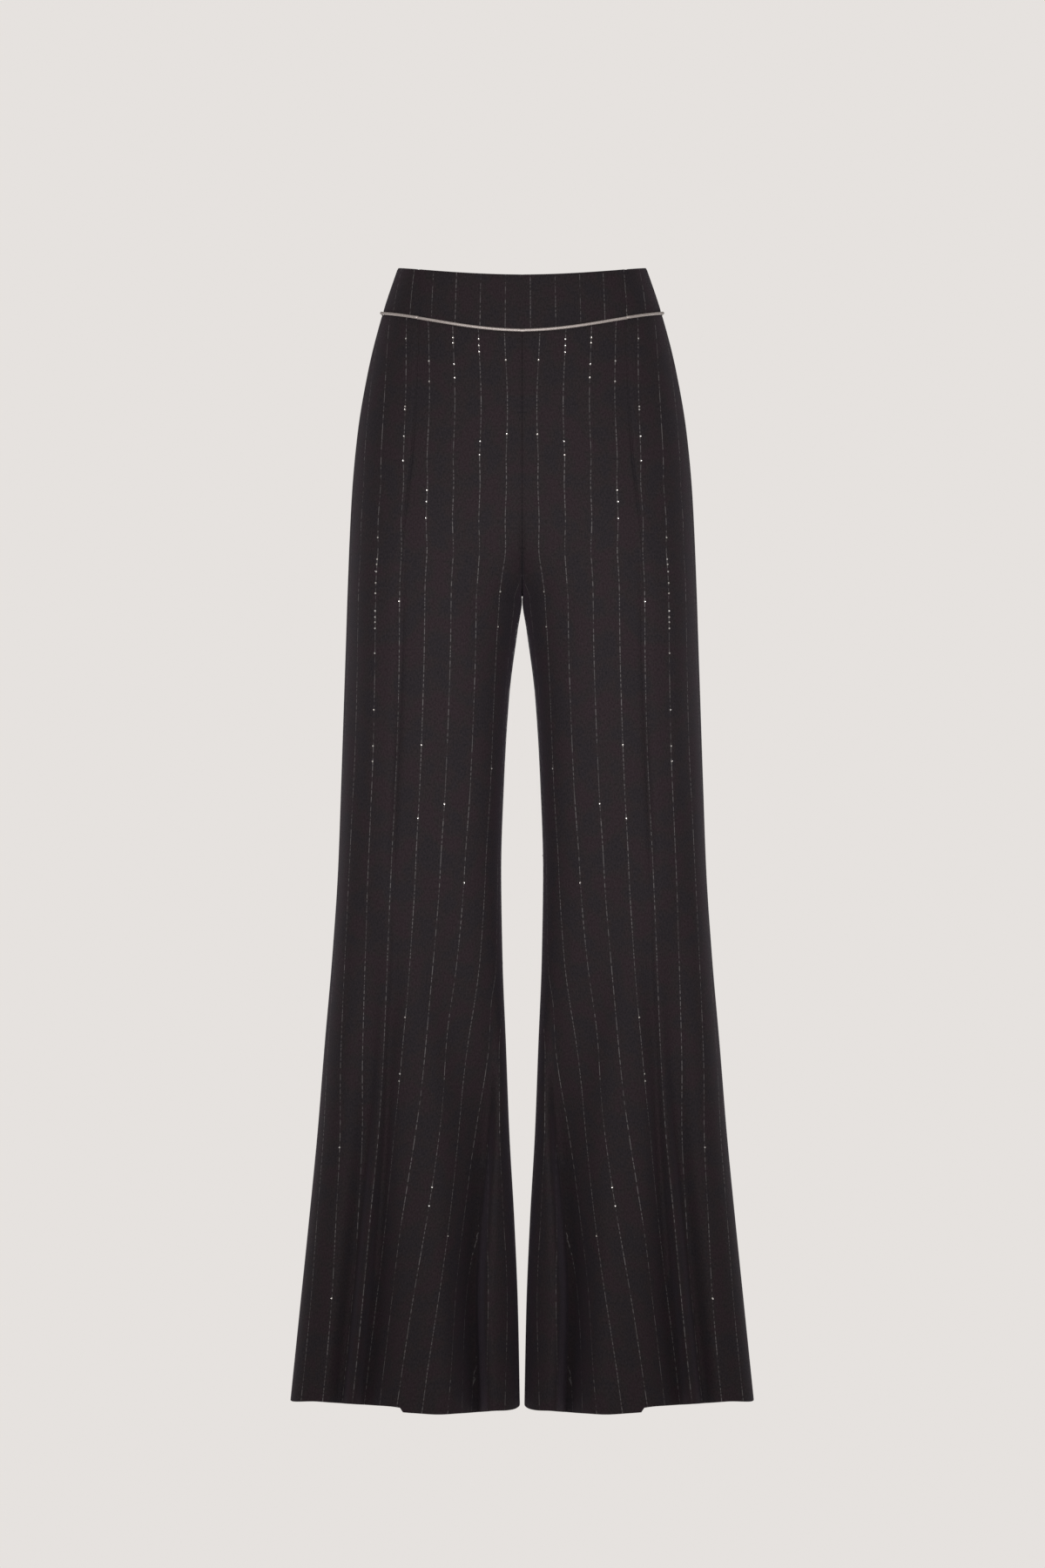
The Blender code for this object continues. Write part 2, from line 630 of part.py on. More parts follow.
def make_zip_tape(materials):
    """The zip's tape behind the centre-back opening, with its closed chain standing in it."""
    line_z, line_y = back_centre_line()
    between = line_z[(line_z > ZIP_END) & (line_z < ZIP_TAPE_TOP)]
    chain_ends = [ZIP_CHAIN_TOP, ZIP_CHAIN_TOP + ZIP_CHAIN_END]
    z = np.sort(np.concatenate([[ZIP_END, ZIP_TAPE_TOP], between, chain_ends]))
    y = np.interp(z, line_z, line_y)
    slope = np.gradient(y, z)
    normal = np.stack([0 * z, np.ones_like(z), -slope], axis=-1)
    normal /= np.linalg.norm(normal, axis=1, keepdims=True)
    half_chain = ZIP_CHAIN_WIDTH / 2
    half_tape = ZIP_TAPE_WIDTH / 2
    columns = (
        (-half_tape, 0.0),
        (-half_chain - ZIP_CHAIN_SIDE, 0.0),
        (-half_chain, 1.0),
        (half_chain, 1.0),
        (half_chain + ZIP_CHAIN_SIDE, 0.0),
        (half_tape, 0.0),
    )
    outer = np.zeros((len(z), len(columns), 3))
    inner = np.zeros_like(outer)
    for c, (x, raised) in enumerate(columns):
        chain = raised * (z <= ZIP_CHAIN_TOP)
        depth = WALL + ZIP_TAPE_GAP - chain * (WALL + ZIP_TAPE_GAP - SEAM_GAP)
        base = np.stack([np.full_like(z, x), y, z], axis=-1)
        outer[:, c] = base - depth[:, None] * normal
        inner[:, c] = base - (WALL + ZIP_TAPE_GAP + ZIP_TAPE_THICKNESS) * normal
    new_object("zip_tape", materials["zip_tape"], lambda solid: add_sheet(solid, outer, inner))


def slider_frame():
    """Place and tilt of the pull tab's hinge: the cloth's outside is below it along local Y."""
    z = np.array([SLIDER_HEIGHT])
    centre = surface(np.ones(1), z, BACK)[0]
    normal = outward(np.ones(1), z, BACK)[0] * np.array([0.0, 1.0, 1.0])
    hinge = centre + hinge_over_cloth() * normal
    tilt = math.atan2(normal[2], normal[1])
    return Matrix.Translation(hinge) @ Matrix.Rotation(tilt, 4, "X")


def hinge_over_cloth():
    """Distance of the hinge's axis from the waistband's outside."""
    bar_corner = math.hypot(TAB_BAR, TAB_THICKNESS) / 2
    return SEAM_GAP + SLIDER_PLATE[1] + TURNING_CLEARANCE + bar_corner


def add_box(solid, low, high, bevel=0.0):
    """A box between two corners, with its edges bevelled."""
    size = [b - a for a, b in zip(low, high)]
    middle = [(a + b) / 2 for a, b in zip(low, high)]
    scale = Matrix.Diagonal((*size, 1.0))
    box = bmesh.ops.create_cube(solid, size=1.0, matrix=Matrix.Translation(middle) @ scale)
    if bevel:
        edges = list({edge for vert in box["verts"] for edge in vert.link_edges})
        bmesh.ops.bevel(
            solid, geom=edges, offset=bevel, segments=1, profile=0.5, affect="EDGES"
        )


def add_prism(solid, outline, axis, half_width):
    """An outline of (a, b) points, extruded both ways along an axis (0 is X, 1 is Y)."""
    layers = []
    for at in (-half_width, half_width):
        points = [(at, a, b) if axis == 0 else (a, at, b) for a, b in outline]
        layers.append([solid.verts.new(point) for point in points])
    solid.faces.new(layers[0])
    solid.faces.new(layers[1][::-1])
    for k in range(len(outline)):
        following = (k + 1) % len(outline)
        solid.faces.new([layers[0][k], layers[0][following], layers[1][following], layers[1][k]])


def joined(base, other, operation):
    """Adds or cuts other, which is kept only as a guide."""
    modifier = base.modifiers.new(operation.title(), "BOOLEAN")
    modifier.operation = operation
    modifier.solver = "EXACT"
    modifier.object = other
    other.hide_render = True
    other.display_type = "WIRE"


def make_slider(materials, place):
    """The slider's plate, the neck that holds it in the zip, and the bridge over its top."""
    cloth = -hinge_over_cloth()
    plate_back = cloth + SEAM_GAP
    plate_face = plate_back + SLIDER_PLATE[1]
    half_width = SLIDER_PLATE[0] / 2
    plate_low = -SLIDER_PLATE[2] / 2 - SLIDER_PLATE_DROP
    plate_high = SLIDER_PLATE[2] / 2 - SLIDER_PLATE_DROP
    slider = new_object(
        "zip_slider",
        materials["zip_metal"],
        lambda solid: add_box(
            solid,
            (-half_width, plate_back, plate_low),
            (half_width, plate_face, plate_high),
            SLIDER_BEVEL,
        ),
    )
    neck = new_object(
        "slider_neck",
        materials["zip_metal"],
        lambda solid: add_box(
            solid,
            (-SLIDER_NECK[0] / 2, cloth - WALL, -SLIDER_NECK[1] / 2),
            (SLIDER_NECK[0] / 2, plate_back + UNION_BITE, SLIDER_NECK[1] / 2),
        ),
    )
    root = plate_face - UNION_BITE
    inner_top = math.hypot(TAB_BAR, TAB_THICKNESS) / 2 + TURNING_CLEARANCE
    outer_top = inner_top + BRIDGE_THICKNESS
    inner_foot = BRIDGE_REACH - BRIDGE_THICKNESS
    shoulder = BRIDGE_THICKNESS
    arch = (
        (root, -BRIDGE_REACH),
        (outer_top - shoulder, -BRIDGE_REACH),
        (outer_top, -BRIDGE_REACH + shoulder),
        (outer_top, BRIDGE_REACH - shoulder),
        (outer_top - shoulder, BRIDGE_REACH),
        (root, BRIDGE_REACH),
        (root, inner_foot),
        (inner_top - shoulder / 2, inner_foot),
        (inner_top, inner_foot - shoulder / 2),
        (inner_top, -inner_foot + shoulder / 2),
        (inner_top - shoulder / 2, -inner_foot),
        (root, -inner_foot),
    )
    bridge = new_object(
        "slider_bridge",
        materials["zip_metal"],
        lambda solid: add_prism(solid, arch, 0, BRIDGE_WIDTH / 2),
    )
    for piece in (slider, neck, bridge):
        piece.matrix_world = place
    joined(slider, neck, "UNION")
    joined(slider, bridge, "UNION")


def make_pull(materials, place):
    """The pull tab, hanging from its bar under the bridge; its origin is on the bar's axis."""
    eye_half = TAB_EYE[0] / 2
    arm_out = eye_half + TAB_ARM
    end_half = TAB_END_WIDTH / 2
    outline = (
        (-arm_out, TAB_BAR / 2),
        (arm_out, TAB_BAR / 2),
        (arm_out, -TAB_EYE[1] - TAB_BAR),
        (end_half * 0.72, -TAB_LENGTH * 0.45),
        (end_half, -TAB_LENGTH * 0.85),
        (end_half * 0.6, -TAB_LENGTH),
        (-end_half * 0.6, -TAB_LENGTH),
        (-end_half, -TAB_LENGTH * 0.85),
        (-end_half * 0.72, -TAB_LENGTH * 0.45),
        (-arm_out, -TAB_EYE[1] - TAB_BAR),
    )
    tab = new_object(
        "zip_pull",
        materials["zip_metal"],
        lambda solid: add_prism(solid, outline, 1, TAB_THICKNESS / 2),
    )
    window = new_object(
        "pull_window",
        materials["zip_metal"],
        lambda solid: add_box(
            solid,
            (-eye_half, -TAB_THICKNESS, -TAB_BAR / 2 - TAB_EYE[1]),
            (eye_half, TAB_THICKNESS, -TAB_BAR / 2),
        ),
    )
    hinge = bpy.data.objects.new("pull_hinge", None)
    bpy.context.scene.collection.objects.link(hinge)
    hinge.matrix_world = place
    tab.parent = hinge
    window.parent = hinge
    joined(tab, window, "DIFFERENCE")


def make_materials():
    """One Principled material for each kind of cloth or metal."""
    made = {}
    for name, (red, green, blue, roughness, metallic) in MATERIALS.items():
        material = bpy.data.materials.new(name)
        material.use_nodes = True
        shader = material.node_tree.nodes["Principled BSDF"]
        shader.inputs["Base Color"].default_value = (red, green, blue, 1.0)
        shader.inputs["Roughness"].default_value = roughness
        shader.inputs["Metallic"].default_value = metallic
        made[name] = material
    return made


def main():
    for thing in list(bpy.context.scene.objects):
        bpy.data.objects.remove(thing, do_unlink=True)
    materials = make_materials()
    make_panels(materials)
    make_waistband(materials)
    make_piping(materials)
    make_zip_tape(materials)
    place = slider_frame()
    make_slider(materials, place)
    make_pull(materials, place)


main()
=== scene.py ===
# %% [markdown]
# # Flared trousers in pinstripe suiting
#
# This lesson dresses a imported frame: the solids of a pair of high-waisted, flared trousers. Each
# panel of cloth is made again as a thin wall on the same form, with far more points, so that its
# creases, seams and edges are real shape. Then it gets a cloth that is woven, striped and
# scattered with sequins. Everything is in metres, the front faces -Y, and the wearer's left is
# at +X.

# %% Load the frame
import math

import bpy
import numpy as np
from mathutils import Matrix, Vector


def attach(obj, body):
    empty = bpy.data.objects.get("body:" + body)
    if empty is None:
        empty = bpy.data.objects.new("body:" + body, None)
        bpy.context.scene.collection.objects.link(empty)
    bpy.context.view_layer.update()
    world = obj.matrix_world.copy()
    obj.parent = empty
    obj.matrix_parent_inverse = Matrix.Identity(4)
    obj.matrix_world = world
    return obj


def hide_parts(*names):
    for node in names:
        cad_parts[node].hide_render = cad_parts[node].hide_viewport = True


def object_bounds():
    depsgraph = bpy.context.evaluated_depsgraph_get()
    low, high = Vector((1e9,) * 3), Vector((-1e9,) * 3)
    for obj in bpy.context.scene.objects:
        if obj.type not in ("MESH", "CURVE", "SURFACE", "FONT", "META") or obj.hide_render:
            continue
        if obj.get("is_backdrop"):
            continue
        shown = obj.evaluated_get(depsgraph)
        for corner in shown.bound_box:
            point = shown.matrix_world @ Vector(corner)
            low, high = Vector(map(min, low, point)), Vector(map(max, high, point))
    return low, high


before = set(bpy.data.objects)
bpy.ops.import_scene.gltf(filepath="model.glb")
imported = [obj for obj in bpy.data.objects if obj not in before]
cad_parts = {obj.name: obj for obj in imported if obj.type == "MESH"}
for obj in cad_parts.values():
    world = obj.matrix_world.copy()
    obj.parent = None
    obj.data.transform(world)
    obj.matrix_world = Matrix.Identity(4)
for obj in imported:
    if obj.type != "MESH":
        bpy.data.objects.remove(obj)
frame_low, frame_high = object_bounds()
print("frame", [round(v, 3) for v in frame_low], [round(v, 3) for v in frame_high])

# %% [markdown]
# ## The garment's sizes
#
# A pattern cutter works from a few heights and widths. These are the same ones that the solids
# were worked out from: heights at the side seam, and sections of one half of the garment, from
# the waist down to the hem. A table with a row for each height is easier to change than a mesh,
# because a smooth curve through its rows does the rest.

# %% Heights and sections
CLOTH = 0.0015
SEAM_GAP = 0.0003
WAIST_TOP = 0.0222
WAIST_SEAM = -0.0224
CROTCH = -0.3044
HEM = -1.0948

FRONT_TOP_TILT = 0.0094
FRONT_TOP_DIP = 0.0066
FRONT_TOP_BEND = 1.4
FRONT_SEAM_TILT = 0.0101
FRONT_SEAM_DIP = 0.0158
FRONT_SEAM_BEND = 1.9
BACK_TOP_DIP = -0.0020
BACK_SEAM_DIP = 0.0045
DIP_ENDS_BELOW = -0.200

HEM_STEP_ACROSS = 0.1177
HEM_STEP_WIDTH = 0.0030
HEM_STEP_ABOVE_CROTCH = 0.072
FOLD_HANGS_LOWER = 0.135
HEM_COLUMNS = ("across", "drop")
FRONT_HEM = (
    (0.0000, 0.0040),
    (0.0124, 0.0028),
    (0.0293, 0.0013),
    (0.0592, 0.0028),
    (0.0825, 0.0041),
    (0.1012, 0.0034),
    (HEM_STEP_ACROSS - HEM_STEP_WIDTH / 2, 0.0028),
    (HEM_STEP_ACROSS + HEM_STEP_WIDTH / 2, -0.0015),
    (0.1350, -0.0027),
    (0.2000, -0.0034),
    (0.2290, -0.0002),
)
BACK_HEM = (
    (0.0000, 0.0040),
    (0.0300, 0.0010),
    (0.0600, 0.0000),
    (0.2290, 0.0000),
)

ROUNDNESS = 2.6
FRONT_RISE = 0.110
BACK_RISE = 0.140
TRUNK_IS_ONE_ROUND = 0.260
LEAST_NOTCH = 0.05
LEAST_MIDDLE = 0.05

SECTION_COLUMNS = ("height", "outer", "gap", "front", "back", "skew")
SECTIONS = (
    (0.030, 0.1195, 0.0000, 0.0830, 0.0860, 0.00),
    (-0.022, 0.1371, 0.0000, 0.0870, 0.0915, 0.00),
    (-0.078, 0.1515, 0.0000, 0.0920, 0.1030, 0.00),
    (-0.143, 0.1625, 0.0000, 0.0955, 0.1150, 0.00),
    (-0.207, 0.1682, 0.0000, 0.0965, 0.1200, 0.00),
    (-0.304, 0.1724, 0.0000, 0.0910, 0.1090, 0.00),
    (-0.335, 0.1734, 0.0043, 0.0885, 0.1035, 0.00),
    (-0.401, 0.1756, 0.0127, 0.0835, 0.0945, 0.00),
    (-0.487, 0.1785, 0.0179, 0.0775, 0.0850, 0.00),
    (-0.573, 0.1817, 0.0206, 0.0720, 0.0785, 0.00),
    (-0.659, 0.1875, 0.0193, 0.0690, 0.0765, 0.00),
    (-0.745, 0.1950, 0.0159, 0.0680, 0.0780, 0.05),
    (-0.831, 0.2020, 0.0126, 0.0680, 0.0810, 0.15),
    (-0.917, 0.2104, 0.0077, 0.0680, 0.0850, 0.25),
    (-1.003, 0.2193, 0.0041, 0.0680, 0.0885, 0.35),
    (-1.095, 0.2288, 0.0022, 0.0680, 0.0910, 0.42),
)
FRONT = -1
BACK = 1
print(f"outseam {WAIST_TOP - HEM:.3f} m, rise {WAIST_TOP - CROTCH:.3f} m, {len(SECTIONS)} sections")

# %% [markdown]
# ## The folds
#
# A flare has more cloth at the hem than its outline shows, and the spare cloth stands in folds.
# Each fold here is a valley that runs down a leg: how far out it lies, how deep it is, and how
# wide its two slopes are, at a few heights. The pressed crease is the ridge just outside the
# steepest valley. The dents at the end of the table are too soft for the solids: they are the
# broad, uneven hollows that hanging cloth has over a thigh and behind a knee.

# %% Folds and dents
VALLEY_COLUMNS = ("height", "across", "depth", "outer_slope", "inner_slope")
FRONT_VALLEYS = {
    "outside_crease": (
        (-0.045, 0.1130, 0.0000, 0.0120, 0.0090),
        (-0.235, 0.1270, 0.0000, 0.0120, 0.0090),
        (-0.570, 0.1400, 0.0000, 0.0120, 0.0100),
        (-0.655, 0.1444, 0.0030, 0.0120, 0.0095),
        (-0.740, 0.1461, 0.0100, 0.0110, 0.0075),
        (-0.825, 0.1514, 0.0170, 0.0095, 0.0056),
        (-0.910, 0.1594, 0.0205, 0.0088, 0.0048),
        (-0.995, 0.1678, 0.0220, 0.0080, 0.0046),
        (-1.095, 0.1783, 0.0225, 0.0075, 0.0046),
    ),
    "inside_crease": (
        (-0.032, 0.0975, 0.0000, 0.0014, 0.0080),
        (-0.055, 0.0985, 0.0018, 0.0014, 0.0080),
        (-0.110, 0.1008, 0.0016, 0.0014, 0.0090),
        (-0.235, 0.1118, 0.0014, 0.0014, 0.0100),
        (-0.370, 0.1165, 0.0022, 0.0014, 0.0110),
        (-0.570, 0.1240, 0.0025, 0.0018, 0.0120),
        (-0.655, 0.1245, 0.0050, 0.0028, 0.0110),
        (-0.740, 0.1286, 0.0100, 0.0042, 0.0070),
        (-0.825, 0.1325, 0.0150, 0.0048, 0.0060),
        (-0.910, 0.1388, 0.0205, 0.0050, 0.0090),
        (-0.995, 0.1455, 0.0260, 0.0050, 0.0125),
        (-1.095, 0.1545, 0.0295, 0.0050, 0.0130),
    ),
    "beside_inner_flute": (
        (-0.045, 0.0400, 0.0000, 0.0100, 0.0090),
        (-0.400, 0.0500, 0.0000, 0.0130, 0.0090),
        (-0.655, 0.0400, 0.0020, 0.0160, 0.0080),
        (-0.740, 0.0325, 0.0100, 0.0190, 0.0065),
        (-0.825, 0.0354, 0.0270, 0.0170, 0.0056),
        (-0.910, 0.0418, 0.0430, 0.0155, 0.0052),
        (-0.995, 0.0460, 0.0520, 0.0135, 0.0050),
        (-1.095, 0.0432, 0.0560, 0.0120, 0.0050),
    ),
    "knee_hollow": (
        (-0.470, 0.1000, 0.0000, 0.0150, 0.0170),
        (-0.570, 0.0966, 0.0045, 0.0150, 0.0170),
        (-0.655, 0.0834, 0.0075, 0.0150, 0.0180),
        (-0.740, 0.0660, 0.0100, 0.0145, 0.0180),
        (-0.825, 0.0540, 0.0060, 0.0150, 0.0180),
        (-0.910, 0.0500, 0.0000, 0.0160, 0.0180),
    ),
}
BACK_VALLEYS = {
    "outer": (
        (-0.045, 0.1170, 0.0000, 0.0110, 0.0100),
        (-0.640, 0.1480, 0.0000, 0.0110, 0.0100),
        (-0.800, 0.1600, 0.0080, 0.0110, 0.0100),
        (-0.950, 0.1740, 0.0160, 0.0100, 0.0085),
        (-1.095, 0.1860, 0.0200, 0.0090, 0.0080),
    ),
    "middle": (
        (-0.045, 0.0760, 0.0000, 0.0090, 0.0120),
        (-0.600, 0.1050, 0.0000, 0.0110, 0.0130),
        (-0.750, 0.1120, 0.0080, 0.0110, 0.0140),
        (-0.900, 0.1200, 0.0200, 0.0100, 0.0140),
        (-1.095, 0.1280, 0.0300, 0.0090, 0.0130),
    ),
    "inner": (
        (-0.045, 0.0330, 0.0000, 0.0090, 0.0080),
        (-0.680, 0.0480, 0.0000, 0.0120, 0.0090),
        (-0.850, 0.0520, 0.0120, 0.0140, 0.0085),
        (-1.000, 0.0580, 0.0260, 0.0140, 0.0080),
        (-1.095, 0.0600, 0.0320, 0.0140, 0.0075),
    ),
}

CREASE_COLUMNS = ("height", "across")
CREASE = (
    (-0.045, 0.1008),
    (-0.110, 0.1034),
    (-0.167, 0.1068),
    (-0.235, 0.1143),
    (-0.302, 0.1187),
    (-0.369, 0.1193),
    (-0.445, 0.1213),
    (-0.570, 0.1274),
    (-0.655, 0.1310),
    (-0.740, 0.1346),
    (-0.825, 0.1399),
    (-0.910, 0.1481),
    (-0.995, 0.1559),
    (-1.095, 0.1660),
)

# Each dent: height, distance from the centre, depth, half length, half width, and how far it
# leans outwards as it goes up
FRONT_DENTS = (
    (-0.275, 0.0300, 0.0022, 0.045, 0.009, 0.55),
    (-0.300, 0.0480, 0.0014, 0.055, 0.010, 0.80),
    (-0.335, 0.0350, 0.0018, 0.060, 0.012, 0.30),
    (-0.470, 0.0700, 0.0020, 0.070, 0.018, -0.10),
    (-0.400, 0.1660, 0.0024, 0.240, 0.007, 0.05),
    (-0.620, 0.1560, 0.0016, 0.080, 0.012, 0.05),
    (-0.860, 0.0640, 0.0045, 0.360, 0.014, 0.00),
)
BACK_DENTS = (
    (-0.300, 0.0560, 0.0040, 0.050, 0.011, 1.10),
    (-0.345, 0.0700, 0.0026, 0.055, 0.012, 0.75),
    (-0.400, 0.0480, 0.0022, 0.070, 0.014, 0.30),
    (-0.560, 0.1000, 0.0030, 0.055, 0.018, 1.20),
    (-0.610, 0.0750, 0.0024, 0.060, 0.016, -0.80),
    (-0.680, 0.1350, 0.0020, 0.070, 0.014, 0.25),
)
print(f"{len(FRONT_VALLEYS)} folds and {len(FRONT_DENTS)} dents in front, "
      f"{len(BACK_VALLEYS)} and {len(BACK_DENTS)} behind, on each leg")

# %% [markdown]
# ## From the tables to a surface
#
# One function gives a point of the garment's outside for any turn round the body and any height.
# Everything later asks this function where the cloth is, so the panels, the piping, the seams
# and the sequins always agree. `turn` runs from 0 at the side seam to 1 at the inner edge, which
# is the inseam on the leg and the centre seam above the crotch.


# %% Curves through a table
def through(heights, values, z):
    """A smooth curve through a table's values that doesn't overshoot them, read at heights z."""
    order = np.argsort(heights)
    knots = np.asarray(heights, float)[order]
    levels = np.asarray(values, float)[order]
    step = np.diff(knots)
    slope = np.diff(levels) / step
    tangent = np.concatenate([slope[:1], np.zeros(len(knots) - 2), slope[-1:]])
    before = slope[:-1]
    after = slope[1:]
    keeps_on = before * after > 0
    total = np.where(keeps_on, before + after, 1.0)
    tangent[1:-1] = np.where(keeps_on, 2 * before * after / total, 0.0)
    z = np.clip(z, knots[0], knots[-1])
    k = np.clip(np.searchsorted(knots, z, side="right") - 1, 0, len(knots) - 2)
    t = (z - knots[k]) / step[k]
    ends = levels[k] * (1 + 2 * t) * (1 - t) ** 2 + levels[k + 1] * t * t * (3 - 2 * t)
    bends = step[k] * (tangent[k] * t * (1 - t) ** 2 - tangent[k + 1] * t * t * (1 - t))
    return ends + bends


def read(table, columns, name, z):
    """A named column of a table at heights z."""
    heights = [row[0] for row in table]
    values = [row[columns.index(name)] for row in table]
    return through(heights, values, z)


def length_along(points):
    """The distance of each point of a line from its start, measured along it."""
    steps = np.linalg.norm(np.diff(points, axis=0), axis=1)
    return np.concatenate([[0.0], np.cumsum(steps)])


def smooth_step(t):
    """0 before 0, 1 after 1 and a soft ramp between."""
    t = np.clip(t, 0.0, 1.0)
    return t * t * (3 - 2 * t)


def bell(distance, width):
    """1 at no distance, falling softly to almost 0 at three widths."""
    return np.exp(-0.5 * (distance / width) ** 2)


print("half width at the knee", round(float(read(SECTIONS, SECTION_COLUMNS, "outer", -0.62)), 4))


# %% The garment's outside
SECTION_SAMPLES = 900
DART_DEPTH = 0.0008
DART_WIDTH = 0.0016
DART_END = -0.125
DART_ENDS_OVER = 0.05
TUCK_DEPTH = 0.0016
TUCK_WIDTH = 0.0009
TUCK_END = -0.300
TUCK_OPENS_OVER = 0.05
CREASE_FADES = -0.640
CREASE_FADES_OVER = 0.10
CREASE_DEPTH = 0.0032
CREASE_WIDTH = 0.0030
DENTS_START_OVER = 0.03


def valley_depth(rows, x, z):
    """How far one fold takes the cloth in at a distance x from the centre."""
    across = read(rows, VALLEY_COLUMNS, "across", z)
    outer_slope = read(rows, VALLEY_COLUMNS, "outer_slope", z)
    inner_slope = read(rows, VALLEY_COLUMNS, "inner_slope", z)
    slope = np.where(x > across, outer_slope, inner_slope)
    return read(rows, VALLEY_COLUMNS, "depth", z) * bell(x - across, slope)


def fold_depth(x, z, face):
    """How far all the folds together take the cloth in."""
    valleys = FRONT_VALLEYS if face == FRONT else BACK_VALLEYS
    return sum(valley_depth(rows, x, z) for rows in valleys.values())


def crease_depth(x, z):
    """The front crease: a stitched groove down to the tuck's end, and a soft one below it."""
    from_crease = x - read(CREASE, CREASE_COLUMNS, "across", z)
    stitched = smooth_step((z - TUCK_END) / TUCK_OPENS_OVER)
    pressed = (1 - stitched) * smooth_step((z - CREASE_FADES) / CREASE_FADES_OVER)
    groove = TUCK_DEPTH * stitched * bell(from_crease, TUCK_WIDTH)
    return groove + CREASE_DEPTH * pressed * bell(from_crease, CREASE_WIDTH)


def dart_depth(x, z):
    """The back dart: a stitched groove below the waistband."""
    from_dart = x - read(BACK_VALLEYS["middle"], VALLEY_COLUMNS, "across", z)
    stitched = smooth_step((z - DART_END) / DART_ENDS_OVER)
    return DART_DEPTH * bell(from_dart, DART_WIDTH) * stitched


def dent_depth(x, z, face):
    """How far the soft dents take the cloth in, and the front crease or back dart with them."""
    depth = 0.0 * x
    dents = FRONT_DENTS if face == FRONT else BACK_DENTS
    for height, across, deep, half_length, half_width, lean in dents:
        length = math.hypot(1.0, lean)
        up = z - height
        out = x - across
        along = (up + lean * out) / length
        aside = (out - lean * up) / length
        depth = depth + deep * bell(along, half_length / 2) * bell(aside, half_width)
    return depth + (crease_depth(x, z) if face == FRONT else dart_depth(x, z))


def surface(turn, z, face):
    """Points on the garment's outside at +X."""
    outer = read(SECTIONS, SECTION_COLUMNS, "outer", z)
    gap = read(SECTIONS, SECTION_COLUMNS, "gap", z)
    depth = read(SECTIONS, SECTION_COLUMNS, "front" if face == FRONT else "back", z)
    skew = read(SECTIONS, SECTION_COLUMNS, "skew", z) if face == FRONT else 0.0
    over_crotch = z - CROTCH
    rise = over_crotch / (FRONT_RISE if face == FRONT else BACK_RISE)
    notch = 1 - np.clip(rise, 0.0, 1 - LEAST_NOTCH)
    merging = smooth_step(over_crotch / TRUNK_IS_ONE_ROUND)
    middle = (outer + gap) / 2 * (1 - (1 - LEAST_MIDDLE) * merging)
    angle = np.clip(turn, 0.0, 1.0) * np.arccos(-notch)
    outwards = np.clip(np.cos(angle), 0.0, 1.0) ** (2 / ROUNDNESS)
    inwards = np.clip(-np.cos(angle) / notch, 0.0, 1.0) ** (2 / ROUNDNESS)
    x = middle + (outer - middle) * outwards - (middle - gap) * inwards
    y = depth * np.sin(angle) ** (2 / ROUNDNESS) * (1 - skew * (outwards - inwards))
    stands_out = smooth_step(y / DENTS_START_OVER)
    y = y - fold_depth(x, z, face) - stands_out * dent_depth(x, z, face)
    return np.stack([x, face * y, z + 0 * x], axis=-1)


def outward(turn, z, face):
    """Unit normals of the surface, away from the inside of the garment."""
    nudge = 0.002
    lift = 0.0010
    low = np.clip(turn - nudge, 0.0, 1.0)
    high = np.clip(turn + nudge, 0.0, 1.0)
    along = surface(high, z, face) - surface(low, z, face)
    up = surface(turn, z + lift, face) - surface(turn, z - lift, face)
    normal = np.cross(up, along) * face * -1
    return normal / np.linalg.norm(normal, axis=-1, keepdims=True)


for face, where in ((FRONT, "front"), (BACK, "back")):
    round_hem = surface(np.linspace(0, 1, SECTION_SAMPLES), np.full(SECTION_SAMPLES, HEM), face)
    print(f"{where} panel is {length_along(round_hem)[-1] * 1000:.0f} mm wide along its hem")


# %% Edges of the waistband and the hem
def dip(turn, bend):
    """The share of a waist edge's dip, from 0 at the side seam to 1 at the centre."""
    share = np.cos(math.pi * np.clip(turn, 0.0, 1.0) / 2) ** (2 / ROUNDNESS)
    return np.clip(1 - share**2, 0.0, 1.0) ** bend


def forward(turn):
    """How far forward the waist lies, from 0 at the side seam to 1 at the centre."""
    return np.sin(math.pi * np.clip(turn, 0.0, 1.0) / 2) ** (2 / ROUNDNESS)


def waist_seam(turn, face):
    """Height of the seam between panel and waistband."""
    if face == FRONT:
        dipped = FRONT_SEAM_DIP * dip(turn, FRONT_SEAM_BEND)
        return WAIST_SEAM - FRONT_SEAM_TILT * forward(turn) - dipped
    return WAIST_SEAM - BACK_SEAM_DIP * dip(turn, 1.0)


def waist_top(turn, face):
    """Height of the waistband's top edge."""
    if face == FRONT:
        dipped = FRONT_TOP_DIP * dip(turn, FRONT_TOP_BEND)
        return WAIST_TOP - FRONT_TOP_TILT * forward(turn) - dipped
    return WAIST_TOP - BACK_TOP_DIP * dip(turn, 1.0)


def panel_heights(level, turn, face):
    """Heights along a row: level on the legs, bent to the waist seam at the top."""
    bend = smooth_step((level - DIP_ENDS_BELOW) / (WAIST_SEAM - DIP_ENDS_BELOW))
    return level + bend * (waist_seam(turn, face) - WAIST_SEAM)


def hem_drop(x, face):
    """How much lower than at the side seam the hem hangs."""
    table = FRONT_HEM if face == FRONT else BACK_HEM
    drop = read(table, HEM_COLUMNS, "drop", x)
    return drop + FOLD_HANGS_LOWER * fold_depth(x, HEM + 0 * x, face)


print("centre front seam is", round(float(waist_seam(np.ones(1), FRONT)[0]), 4), "m high")

